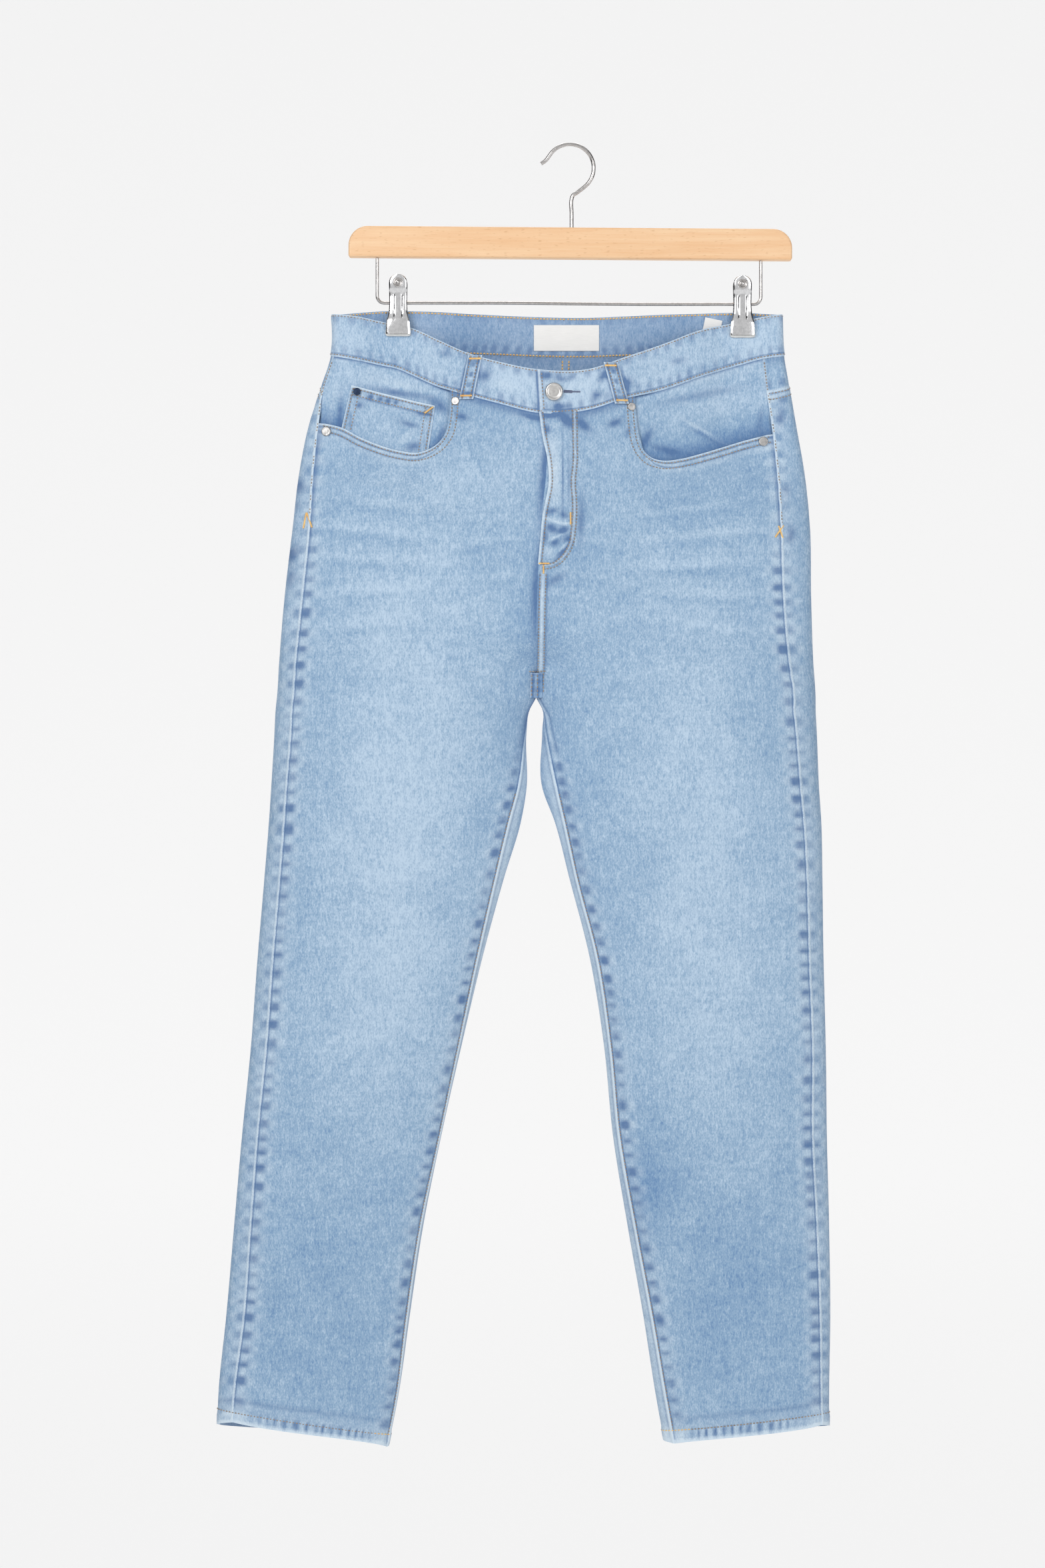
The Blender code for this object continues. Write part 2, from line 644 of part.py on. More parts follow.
def build_panels(paint):
    """Cut the four leg panels and the two yokes from the cloth."""
    for half in ("right", "left"):
        rows_outer = outer_heights(half)
        rows_inner = inner_heights(half)
        for name, grid, columns in (("front", front_grid, FRONT_COLUMNS),
                                    ("back", back_grid, BACK_COLUMNS)):
            angle, z = grid(half, columns, rows_outer, rows_inner)
            angle, z = add_hem_rows(angle, z)
            angle, z = trim(angle, z, half, bottom=False)
            thick = np.full(z.shape, DENIM)
            thick[-2:] = HEM_THICK
            patch(name + "_" + half, half, angle, z, thick, 0.0, paint)
        build_yoke(half, paint)


def build_yoke(half, paint):
    """Cut the back yoke, between the waist seam and the yoke seam."""
    seam_angle, seam_z = waist_seam(half)
    angle = seam_angle[-BACK_COLUMNS:]
    seam = seam_z[-BACK_COLUMNS:]
    low = yoke_height(half, angle)
    down = np.linspace(0.0, 1.0, 4)[:, None]
    z = seam + (low - seam) * down
    shift = side_seam(half, z[:, 0]) - angle[0]
    shift[0] = 0.0
    angle = angle + shift[:, None] * (1.0 - np.linspace(0.0, 1.0, BACK_COLUMNS))
    angle, z = trim(angle, z, half)
    patch("yoke_" + half, half, angle, z, DENIM, 0.0, paint)


def build_waistband(paint):
    """Bend the two halves of the waistband from the front edge to the back seam."""
    for half in ("right", "left"):
        angle, seam = waist_seam(half)
        x = cloth(half, angle, seam)[:, 0]
        top = np.where(angle >= 0.0, BAND["front_top"](x), BAND["back_top"](x))
        down = np.linspace(0.0, 1.0, 4)[:, None]
        z = top + (seam - top) * down
        angle = np.broadcast_to(angle, z.shape)
        angle, z = trim(angle, z, half, top=False)
        patch("waistband_" + half, half, angle, z, WAISTBAND_THICK, 0.0, paint)


def flat_grid(corners, columns, rows):
    """Mix four corners of an X, Z patch: top outer, top inner, low outer, low inner."""
    u = np.linspace(0.0, 1.0, columns)[None, :, None]
    v = np.linspace(0.0, 1.0, rows)[:, None, None]
    a, b, c, d = (np.array(corner, dtype=float) for corner in corners)
    return (1 - v) * ((1 - u) * a + u * b) + v * ((1 - u) * c + u * d)


def face_place(side, x, z):
    """Return points of one face at X, Z places, and their outward directions."""
    points = {}
    normals = {}
    for half in ("right", "left"):
        angle = angle_at(half, side, x, z)
        points[half] = cloth(half, angle, z)
        normals[half] = cloth_normal(half, angle, z)
    right = (x < MID[side](z))[..., None]
    return (np.where(right, points["right"], points["left"]),
            np.where(right, normals["right"], normals["left"]))


def patch_xz(name, side, grid, thick, outwards, paint):
    """Make a wall on one face of the cloth from a grid of X, Z places."""
    points, normals = face_place(side, grid[..., 0], grid[..., 1])
    return thicken(name, points + normals * outwards, normals, thick, paint)


FACING_IN = -(DENIM / 2 + LAYER_GAP + COIN_CLOTH + LAYER_GAP + POCKETING / 2)
COIN_IN = -(DENIM / 2 + LAYER_GAP + COIN_CLOTH / 2)


def build_pockets(facing_paint, paint):
    """Put the facings behind the pocket mouths, and the coin pocket on one."""
    for half in ("right", "left"):
        inwards = 1.0 if half == "right" else -1.0
        mouth = np.array(SCOOPS[half], dtype=float)
        end_x = mouth[-1, 0] + inwards * FACING_UNDERLAP
        share = np.linspace(0.0, 1.0, FACING_GRID[0])
        low = along(mouth[:-2], share)
        low[:, 1] -= FACING_UNDERLAP
        low[:, 0] += inwards * FACING_UNDERLAP * share ** 2
        first_angle = side_seam(half, np.array([SIDE_WAIST_Z]))
        start_x = float(cloth(half, first_angle, np.array([SIDE_WAIST_Z]))[0, 0])
        top_x = start_x + (end_x - start_x) * share
        top_z = BAND["front_seam"](top_x) - SEAM_GAP
        down = np.linspace(0.0, 1.0, FACING_GRID[1])[:, None]
        x = top_x + (low[:, 0] - top_x) * down
        z = top_z + (low[:, 1] - top_z) * down
        angle = angle_at(half, "front", x, z)
        angle[:, 0] = side_seam(half, z[:, 0])
        angle, z = trim(angle, z, half, bottom=False, last=False)
        patch("facing_" + half, half, angle, z, POCKETING, FACING_IN, facing_paint)
    corners = [COIN_POCKET[key] for key in ("top_outer", "top_inner", "low_outer", "low_inner")]
    grid = flat_grid(corners, *COIN_GRID)
    patch_xz("coin_pocket", "front", grid, COIN_CLOTH, COIN_IN, paint)


def build_back_pockets(paint):
    """Lay a plain pocket on each back panel."""
    size = BACK_POCKET
    columns, rows = BACK_POCKET_GRID
    for half in ("right", "left"):
        outwards = -1.0 if half == "right" else 1.0
        inner_x = float(MID["back"](size["middle_z"])) + outwards * size["from_middle"]
        outer_x = inner_x + outwards * size["top_width"]
        taper = outwards * (size["top_width"] - size["low_width"]) / 2
        top = np.linspace(outer_x, inner_x, columns)
        seam = yoke_height(half, angle_at(half, "back", top, np.full(top.shape, size["yoke_z"])))
        top_z = np.linspace(seam[0], seam[-1], columns) - size["below_yoke"]
        low = np.linspace(outer_x - taper, inner_x + taper, columns)
        point = 1.0 - np.abs(np.linspace(-1.0, 1.0, columns))
        low_z = top_z - size["side_height"] - size["point"] * point
        down = np.linspace(0.0, 1.0, rows)[:, None]
        grid = np.stack([top + (low - top) * down, top_z + (low_z - top_z) * down], axis=-1)
        lift = DENIM + LAYER_GAP + size["clear"]
        patch_xz("back_pocket_" + half, "back", grid, DENIM, lift, paint)


def build_fly(paint):
    """Lay the zip strip and the fly shield behind the front edge of the left half."""
    zip_in = -(DENIM / 2 + LAYER_GAP + POCKETING / 2)
    shield_in = -(DENIM / 2 + 2 * LAYER_GAP + POCKETING + DENIM / 2)
    left = FLY["from_middle"]
    for name, right, depth, thick in (("zip_strip", FLY["zip_width"], zip_in, POCKETING),
                                      ("fly_shield", FLY["shield_width"], shield_in, DENIM)):
        down = np.linspace(FLY["top"], FLY["bottom"], FLY_GRID[1])
        middle = MID["front"](down)
        share = np.linspace(0.0, 1.0, FLY_GRID[0])
        x = middle[:, None] + left + (right - left) * share
        z = np.broadcast_to(down[:, None], x.shape)
        patch_xz(name, "front", np.stack([x, z], axis=-1), thick, depth, paint[name])


def build_belt_loops(paint):
    """Lay five belt loops over the waistband."""
    for count, (side, top_x, low_x) in enumerate(BELT_LOOPS, start=1):
        top_z = float(BAND[side + "_top"](top_x))
        low_z = float(BAND[side + "_seam"](low_x)) - BELT_LOOP_BELOW_SEAM
        half_width = BELT_LOOP_WIDTH / 2
        corners = ((top_x - half_width, top_z), (top_x + half_width, top_z),
                   (low_x - half_width, low_z), (low_x + half_width, low_z))
        grid = flat_grid(corners, *BELT_LOOP_GRID)
        lift = WAISTBAND_THICK / 2 + LAYER_GAP + LOOP_THICK / 2
        patch_xz("belt_loop_%d" % count, side, grid, LOOP_THICK, lift, paint)


def build_labels(paint):
    """Lay the bare label and the corner of the care label inside the back waistband."""
    for name, size in (("main_label", MAIN_LABEL), ("care_label", CARE_LABEL)):
        grid = flat_grid(((size["right"], size["top"]), (size["left"], size["top"]),
                          (size["right"], size["bottom"]), (size["left"], size["bottom"])), *LABEL_GRID)
        x = grid[..., 0]
        z = grid[..., 1]
        y = BAND["back_y"](x) - WAISTBAND_THICK / 2 - LAYER_GAP - size["thick"] / 2
        points = np.stack([x, y, z], axis=-1)
        normals = np.zeros(points.shape)
        normals[..., 1] = -1.0
        thicken(name, points, normals, size["thick"], paint)


def turned(name, profile, place, axis, paint, segments=12):
    """Spin a profile of radius and height pairs about an axis, from foot to crown."""
    verts = []
    for radius, height in profile:
        for k in range(segments):
            turn = 2 * PI * k / segments
            verts.append((radius * math.cos(turn), radius * math.sin(turn), height))
    faces = []
    rings = len(profile)
    for ring in range(rings - 1):
        for k in range(segments):
            a = ring * segments + k
            b = ring * segments + (k + 1) % segments
            faces.append((a, b, b + segments, a + segments))
    faces.append(tuple(range(segments))[::-1])
    faces.append(tuple(range((rings - 1) * segments, rings * segments)))
    turn = Vector((0, 0, 1)).rotation_difference(Vector(axis)).to_matrix().to_4x4()
    matrix = Matrix.Translation(Vector(place)) @ turn
    points = [matrix @ Vector(v) for v in verts]
    return add_object(name, points, faces, paint)


def dome(diameter, height):
    """Profile of a low dome with a short straight rim."""
    radius = diameter / 2
    rim = DOME["rim_top"]
    profile = [(radius * DOME["foot"], 0.0), (radius, height * DOME["rim_low"]), (radius, height * rim)]
    for k in range(1, 4):
        turn = PI / 2 * k / 4
        profile.append((radius * math.cos(turn), height * (rim + (1.0 - rim) * math.sin(turn))))
    profile.append((radius * DOME["crown"], height))
    return profile


def stud(name, x, z, lift, diameter, height, paint):
    """Set a round stud on the front, standing square to the cloth."""
    point, normal = face_place("front", np.array([x]), np.array([z]))
    turned(name, dome(diameter, height), point[0] + normal[0] * lift, normal[0], paint)


def build_metal(paint):
    """Set the waist button and the rivets."""
    over_band = WAISTBAND_THICK / 2 + LAYER_GAP
    stud("button", BUTTON["x"], BUTTON["z"], over_band, BUTTON["diameter"], BUTTON["height"], paint)
    for name, x, z, diameter, clearance in RIVETS:
        stud(name, x, z, DENIM / 2 + clearance, diameter, RIVET_HEIGHT, paint)
    coin_top = COIN_IN + COIN_CLOTH / 2 + LAYER_GAP
    stud("rivet_coin", COIN_RIVET["x"], COIN_RIVET["z"], coin_top,
         COIN_RIVET["diameter"], COIN_RIVET["height"], paint)


def wire(name, points, diameter, paint, resolution=3):
    """Make a round wire through points, with filled ends."""
    curve = bpy.data.curves.new(name, "CURVE")
    curve.dimensions = "3D"
    curve.bevel_depth = diameter / 2 * MM
    curve.bevel_resolution = resolution
    curve.use_fill_caps = True
    line = curve.splines.new("POLY")
    line.points.add(len(points) - 1)
    for spot, place in zip(line.points, points):
        spot.co = (*(MM * float(c) for c in place), 1.0)
    made = bpy.data.objects.new(name, curve)
    curve.materials.append(paint)
    bpy.context.scene.collection.objects.link(made)
    return made


def build_hanger(wood, steel):
    """Make the wooden bar, its wire hook and the lower wire rod."""
    build_bar(wood)
    top = HOOK["wire"] / 2
    centre_z = top - HOOK["radius"]
    stem = centre_z - HOOK["neck_drop"] - HOOK["stem_bottom"]
    points = [(HOOK["stem_x"], 0.0, HOOK["stem_bottom"] + k * stem / 3) for k in range(4)]
    points.append((HOOK["shoulder_x"], 0.0, centre_z - HOOK["shoulder_drop"]))
    for k in range(HOOK["bend_points"]):
        turn = math.radians(HOOK["bend_start"] + k * HOOK["bend_step"])
        points.append((HOOK["x"] + HOOK["radius"] * math.cos(turn), 0.0,
                       centre_z + HOOK["radius"] * math.sin(turn)))
    last = points[-1]
    points += [(last[0] - left, 0.0, last[2] - down) for left, down in HOOK_TIP]
    wire("hanger_hook", points, HOOK["wire"], steel)
    build_rod(steel)


def build_bar(wood):
    """Extrude the bar's outline, round at its top corners, and break its edges."""
    half = BAR["length"] / 2
    low = -BAR["height"] / 2
    high = BAR["height"] / 2
    outline = []
    for corner_x, corner_z, radius, first in (
            (half, high, BAR["top_radius"], 0), (-half, high, BAR["top_radius"], 90),
            (-half, low, BAR["low_radius"], 180), (half, low, BAR["low_radius"], 270)):
        steps = 7 if radius > 5 else 3
        middle_x = corner_x - math.copysign(radius, corner_x)
        middle_z = corner_z - math.copysign(radius, corner_z)
        for k in range(steps):
            turn = math.radians(first + 90 * k / (steps - 1))
            outline.append((middle_x + radius * math.cos(turn), middle_z + radius * math.sin(turn)))
    count = len(outline)
    depth = BAR["thick"] / 2
    edge = BAR["edge"]
    verts = []
    for y, inset in ((-depth, edge), (-depth + edge, 0.0), (depth - edge, 0.0), (depth, edge)):
        for x, z in outline:
            verts.append((x * (half - inset) / half, y, z * (high - inset) / high))
    faces = [tuple(range(count)), tuple(range(3 * count, 4 * count))[::-1]]
    for ring in range(3):
        for k in range(count):
            a = ring * count + k
            b = ring * count + (k + 1) % count
            faces.append((a, b, b + count, a + count))
    turn = Matrix.Rotation(math.radians(BAR["tilt_degrees"]), 4, "Y")
    matrix = Matrix.Translation((BAR["x"], 0.0, BAR["z"])) @ turn
    add_object("hanger_bar", [matrix @ Vector(v) for v in verts], faces, wood)


def build_rod(steel):
    """Bend the lower wire in a wide U, its ends up against the bar."""
    points = []
    bar_low = BAR["z"] - BAR["height"] / 2
    tilt = math.tan(math.radians(BAR["tilt_degrees"]))
    for side, low, first in (("left", "left_z", 180), ("right", "right_z", 270)):
        x = ROD[side]
        z = ROD[low]
        top = bar_low - (x - BAR["x"]) * tilt - ROD["gap"]
        bend = []
        middle_x = x - math.copysign(ROD["bend"], x)
        for k in range(5):
            turn = math.radians(first + 90 * k / 4)
            bend.append((middle_x + ROD["bend"] * math.cos(turn), 0.0,
                         z + ROD["bend"] + ROD["bend"] * math.sin(turn)))
        if side == "left":
            points += [(x, 0.0, top)] + bend
        else:
            points += bend + [(x, 0.0, top)]
    wire("hanger_rod", points, ROD["wire"], steel)


def build_clips(steel, rubber):
    """Make the two sprung clips that ride on the rod and grip the waistband."""
    for half, (x, top) in CLIPS.items():
        for face, sign in (("front", -1.0), ("back", 1.0)):
            build_clip_plate("clip_%s_%s" % (half, face), x, top, sign, steel)
            build_clip_pad("clip_pad_%s_%s" % (half, face), x, top - CLIP_PAD_TOP, sign, rubber)
            out = np.interp(CLIP_RIVET_DROP - CLIP_RIVET["diameter"] / 2, *zip(*CLIP_LINE))
            seat = out + CLIP_BOW + CLIP["plate"] / 2 + LAYER_GAP
            place = (x, sign * seat, top - CLIP_RIVET_DROP)
            profile = dome(CLIP_RIVET["diameter"], CLIP_RIVET["height"])
            turned("clip_rivet_%s_%s" % (half, face), profile, place, (0.0, sign, 0.0), steel)
        build_spring(half, x, steel)


def build_clip_pad(name, x, top, sign, rubber):
    """Lay a clip's rubber pad on the waistband, inside the jaw."""
    half_width = CLIP["pad_width"] / 2
    low = top - CLIP["pad_height"]
    grid = flat_grid(((x - half_width, top), (x + half_width, top),
                      (x - half_width, low), (x + half_width, low)), *PAD_GRID)
    pad_y = CLIP_JAW_FACE + CLIP["pad_thick"] / 2
    points = np.stack([grid[..., 0], np.full(grid.shape[:2], sign * pad_y), grid[..., 1]], axis=-1)
    normals = np.zeros(points.shape)
    normals[..., 1] = sign
    thicken(name, points, normals, CLIP["pad_thick"], rubber)


def build_clip_plate(name, x, top, sign, steel):
    """Bend a clip's plate from its thumb end, past the rod, to its jaw."""
    drops = np.array(CLIP_ROWS)
    out = np.interp(drops, *zip(*CLIP_LINE))
    width = np.interp(drops, *zip(*CLIP_WIDTH))
    share = np.linspace(-0.5, 0.5, 5)
    px = x + width[:, None] * share
    bow = CLIP_BOW * (1.0 - (2 * share) ** 2)
    py = sign * (out[:, None] + bow)
    pz = np.broadcast_to((top - drops)[:, None], px.shape)
    points = np.stack([px, py, pz], axis=-1)
    normals = np.zeros(points.shape)
    normals[..., 1] = sign
    thicken(name, points, normals, CLIP["plate"], steel)


def build_spring(half, x, steel):
    """Make the coiled spring of a clip as a sleeve round the rod."""
    share = (x - ROD["left"]) / (ROD["right"] - ROD["left"])
    z = ROD["left_z"] + share * (ROD["right_z"] - ROD["left_z"])
    segments = CLIP_SPRING["segments"]
    width = CLIP_SPRING["width"] / 2
    profile = ((CLIP_SPRING["inner"], -width), (CLIP_SPRING["outer"], -width),
               (CLIP_SPRING["outer"], width), (CLIP_SPRING["inner"], width))
    verts = []
    for radius, along_x in profile:
        for k in range(segments):
            turn = 2 * PI * k / segments
            verts.append((x + along_x, radius * math.cos(turn), z + radius * math.sin(turn)))
    faces = []
    for ring in range(4):
        for k in range(segments):
            a = ring * segments + k
            b = ring * segments + (k + 1) % segments
            c = ((ring + 1) % 4) * segments + (k + 1) % segments
            d = ((ring + 1) % 4) * segments + k
            faces.append((a, b, c, d))
    add_object("clip_spring_" + half, verts, faces, steel)


def build():
    """Make every piece of the jeans and of the hanger."""
    clear_scene()
    denim = material("denim", (0.36, 0.52, 0.74), 0.85)
    denim_facing = material("denim_facing", (0.27, 0.42, 0.68), 0.85)
    lining = material("pocketing", (0.80, 0.82, 0.84), 0.9)
    label = material("label", (0.93, 0.93, 0.92), 0.7)
    silver = material("silver", (0.72, 0.72, 0.73), 0.3, 1.0)
    chrome = material("chrome", (0.80, 0.81, 0.82), 0.12, 1.0)
    wood = material("beech", (0.80, 0.56, 0.33), 0.45)
    rubber = material("pad", (0.82, 0.83, 0.84), 0.5)
    build_panels(denim)
    build_waistband(denim)
    build_pockets(denim_facing, denim)
    build_back_pockets(denim)
    build_fly({"zip_strip": lining, "fly_shield": denim})
    build_belt_loops(denim)
    build_labels(label)
    build_metal(silver)
    build_hanger(wood, chrome)
    build_clips(chrome, rubber)


build()
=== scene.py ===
"""Mom jeans in light washed denim, hanging by two clips from a wooden trouser hanger.

Metres, +Z up, the front faces -Y.  The origin is the underside of the hanger's hook.
"""

import math

import bmesh
import bpy
import numpy as np
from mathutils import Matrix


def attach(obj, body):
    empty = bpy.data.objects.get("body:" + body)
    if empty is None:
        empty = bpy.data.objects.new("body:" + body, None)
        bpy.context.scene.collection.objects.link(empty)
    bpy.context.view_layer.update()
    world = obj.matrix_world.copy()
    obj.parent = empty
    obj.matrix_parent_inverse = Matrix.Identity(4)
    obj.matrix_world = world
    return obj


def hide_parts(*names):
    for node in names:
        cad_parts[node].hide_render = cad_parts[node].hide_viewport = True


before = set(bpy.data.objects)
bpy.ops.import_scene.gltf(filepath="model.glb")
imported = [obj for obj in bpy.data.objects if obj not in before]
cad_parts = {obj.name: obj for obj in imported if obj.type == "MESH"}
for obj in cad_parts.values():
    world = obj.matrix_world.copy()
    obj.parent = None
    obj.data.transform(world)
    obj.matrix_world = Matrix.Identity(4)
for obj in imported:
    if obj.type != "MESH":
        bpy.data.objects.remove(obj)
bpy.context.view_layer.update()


# Camera, backdrop and light
# A long lens looks square at the front, at the height of the hips. The floor and the wall are
# one pale sheet far behind, and three large soft lamps leave almost no shadow. The air is dark to
# both sides, which draws an edge on polished wire.

PHOTO_HEIGHT = 2352
PIXEL = 0.00059
CAMERA_MIDDLE = (-0.0431, -0.567)
LENS = 85.0
FILM = 36.0
SUBJECT_Y = -0.015
STUDIO = {"floor_z": -3.2, "wall_y": 7.5, "bend": 1.5, "front_y": -12.0, "top_z": 8.0, "half_width": 12.0}
STUDIO_GREY = (0.450, 0.450, 0.450)
STUDIO_GLOW = 0.615
SKY_WHITE = (1.0, 1.0, 1.0)
SKY_DARK = (0.03, 0.03, 0.035)
SKY_DARK_FROM = 0.50
SKY_DARK_RATE = 5.0
SKY_STRENGTH = 0.60
SKY_SEEN_MORE = 0.30
LAMPS = (
    # name, place, aim, size, watts
    ("key_lamp", (-1.7, -2.6, 0.9), (0.0, 0.0, -0.6), 1.6, 43.4),
    ("fill_lamp", (2.0, -2.6, 0.2), (0.0, 0.0, -0.7), 1.8, 26.0),
    ("top_lamp", (0.0, 0.9, 1.6), (0.0, 0.0, -0.5), 1.4, 14.0),
)

camera_data = bpy.data.cameras.new("camera")
camera_data.lens = LENS
camera_data.sensor_width = FILM
camera = bpy.data.objects.new("camera", camera_data)
stand_off = PHOTO_HEIGHT * PIXEL * LENS / FILM
camera.location = (CAMERA_MIDDLE[0], SUBJECT_Y - stand_off, CAMERA_MIDDLE[1])
camera.rotation_euler = (math.pi / 2, 0.0, 0.0)
bpy.context.scene.collection.objects.link(camera)
bpy.context.scene.camera = camera
bpy.context.scene.view_settings.view_transform = "Standard"


def place_object(name, data):
    """Link a new object that holds the given data, at the origin."""
    made = bpy.data.objects.new(name, data)
    bpy.context.scene.collection.objects.link(made)
    return made


def studio_sheet():
    """A floor that curves up into a wall: a profile of two lines and a quarter circle, swept along X."""
    floor_z, wall_y, bend = STUDIO["floor_z"], STUDIO["wall_y"], STUDIO["bend"]
    turn = np.linspace(0.0, math.pi / 2, 24)
    y = np.concatenate([[STUDIO["front_y"]], wall_y - bend + bend * np.sin(turn), [wall_y]])
    z = np.concatenate([[floor_z], floor_z + bend - bend * np.cos(turn), [STUDIO["top_z"]]])
    x = np.array([-STUDIO["half_width"], STUDIO["half_width"]])
    points = np.stack(np.broadcast_arrays(x[:, None], y[None, :], z[None, :]), axis=-1)
    count = len(y)
    start = np.arange(count - 1)
    faces = np.stack([start, start + 1, start + 1 + count, start + count], axis=-1)
    mesh = bpy.data.meshes.new("studio")
    mesh.from_pydata(points.reshape(-1, 3).tolist(), [], faces.tolist())
    mesh.shade_smooth()
    return place_object("studio", mesh)


class Value:
    """One socket of a material. Sums and products on it add Math nodes, on either side."""

    def __init__(self, finish, socket):
        self.finish = finish
        self.socket = socket

    def math(self, operation, *others):
        values = {index: value for index, value in enumerate((self, *others))}
        return self.finish.node("ShaderNodeMath", {"operation": operation}, values)

    def __add__(self, other):
        return self.math("ADD", other)

    __radd__ = __add__

    def __mul__(self, other):
        return self.math("MULTIPLY", other)

    __rmul__ = __mul__

    def __sub__(self, other):
        return self.math("SUBTRACT", other)

    def __rsub__(self, other):
        return self * -1.0 + other

    def __pow__(self, other):
        return self.math("POWER", other)

    def held(self, low=0.0, high=1.0):
        """The value kept between two limits."""
        return self.math("MAXIMUM", low).math("MINIMUM", high)


class Finish:
    """A material, or the world's light, under construction round its one shader."""

    def __init__(self, owner, shader="Principled BSDF"):
        self.material = bpy.data.materials.new(owner) if isinstance(owner, str) else owner
        self.material.use_nodes = True
        self.nodes = self.material.node_tree.nodes
        self.links = self.material.node_tree.links
        self.shader = self.nodes[shader]

    def feed(self, socket, value):
        """Link a value to a socket, or set the socket to it."""
        if isinstance(value, Value):
            self.links.new(value.socket, socket)
        elif isinstance(value, tuple) and len(value) == 3 and socket.type == "RGBA":
            socket.default_value = (*value, 1.0)
        else:
            socket.default_value = value

    def node(self, kind, settings, sockets, out=0):
        """Add a node: first its settings, then the values or links of its sockets."""
        made = self.nodes.new(kind)
        for key, value in settings.items():
            setattr(made, key, value)
        for key, value in sockets.items():
            self.feed(made.inputs[key], value)
        return Value(self, made.outputs[out])

    def set(self, **sockets):
        """Feed sockets of the shader; an underscore stands for a blank."""
        for key, value in sockets.items():
            self.feed(self.shader.inputs[key.replace("_", " ")], value)
        return self

    def place(self):
        """Object coordinates."""
        return self.node("ShaderNodeTexCoord", {}, {}, "Object")

    def stretched(self, scale, turn=(0.0, 0.0, 0.0)):
        """Object coordinates, turned and scaled along each axis."""
        sockets = {"Vector": self.place(), "Scale": scale, "Rotation": turn}
        return self.node("ShaderNodeMapping", {}, sockets)

    def noise(self, vector, scale, detail=2.0, roughness=0.5):
        """Soft noise between 0 and 1."""
        sockets = {"Vector": vector, "Scale": scale, "Detail": detail, "Roughness": roughness}
        return self.node("ShaderNodeTexNoise", {}, sockets, "Fac")

    def mark(self, name):
        """A value painted on the mesh's points."""
        return self.node("ShaderNodeAttribute", {"attribute_name": name}, {}, "Fac")

    def mix(self, share, low, high):
        """A colour between two colours."""
        settings = {"data_type": "RGBA", "clamp_factor": True}
        return self.node("ShaderNodeMix", settings, {0: share, 6: low, 7: high}, 2)

    def bump(self, height, strength, distance):
        """A normal from a height."""
        sockets = {"Strength": strength, "Distance": distance, "Height": height}
        return self.node("ShaderNodeBump", {}, sockets)


studio_paint = Finish("studio")
studio_paint.set(Base_Color=STUDIO_GREY, Roughness=1.0, Emission_Color=(1.0, 1.0, 1.0),
                 Emission_Strength=STUDIO_GLOW)
studio = studio_sheet()
studio.data.materials.append(studio_paint.material)

world = bpy.data.worlds.new("world")
bpy.context.scene.world = world
sky = Finish(world, "Background")
sky_way = sky.node("ShaderNodeTexCoord", {}, {}, "Generated")
sideways = sky.node("ShaderNodeSeparateXYZ", {}, {"Vector": sky_way}, "X").math("ABSOLUTE")
open_share = 1.0 - ((sideways - SKY_DARK_FROM) * SKY_DARK_RATE).held()
seen = sky.node("ShaderNodeLightPath", {}, {}, "Is Camera Ray")
sky.set(Color=sky.mix(open_share.math("MAXIMUM", seen), SKY_DARK, SKY_WHITE),
        Strength=seen * SKY_SEEN_MORE + SKY_STRENGTH)


def soft_lamp(name, place, aim, size, watts):
    """Hang a square area lamp that points at a place."""
    data = bpy.data.lights.new(name, "AREA")
    data.shape = "SQUARE"
    data.size = size
    data.energy = watts
    lamp = place_object(name, data)
    lamp.location = place
    lamp.visible_camera = False
    way = np.array(aim) - np.array(place)
    lamp.rotation_euler = (math.atan2(math.hypot(way[0], way[1]), -way[2]), 0.0,
                           math.atan2(-way[0], way[1]))
    return lamp


for lamp_row in LAMPS:
    soft_lamp(*lamp_row)


# The form of the hung cloth
# The jeans are one sheet pinched flat by the two clips, bowed forwards between them, rounded over
# the hips and parted into two flattened tubes. Every cloth piece below is cut from this form.

MM = 0.001
PI = math.pi
CROTCH_X = -31.0
CROTCH_Z = -491.0
LEGS_BEGIN_Z = -425.0
CREASES_BEGIN_Z = -1120.0
CREASES_FULL_Z = -1060.0
CREASE_CALM_DEPTH = 12.0
LEAST_WRAP = 0.05

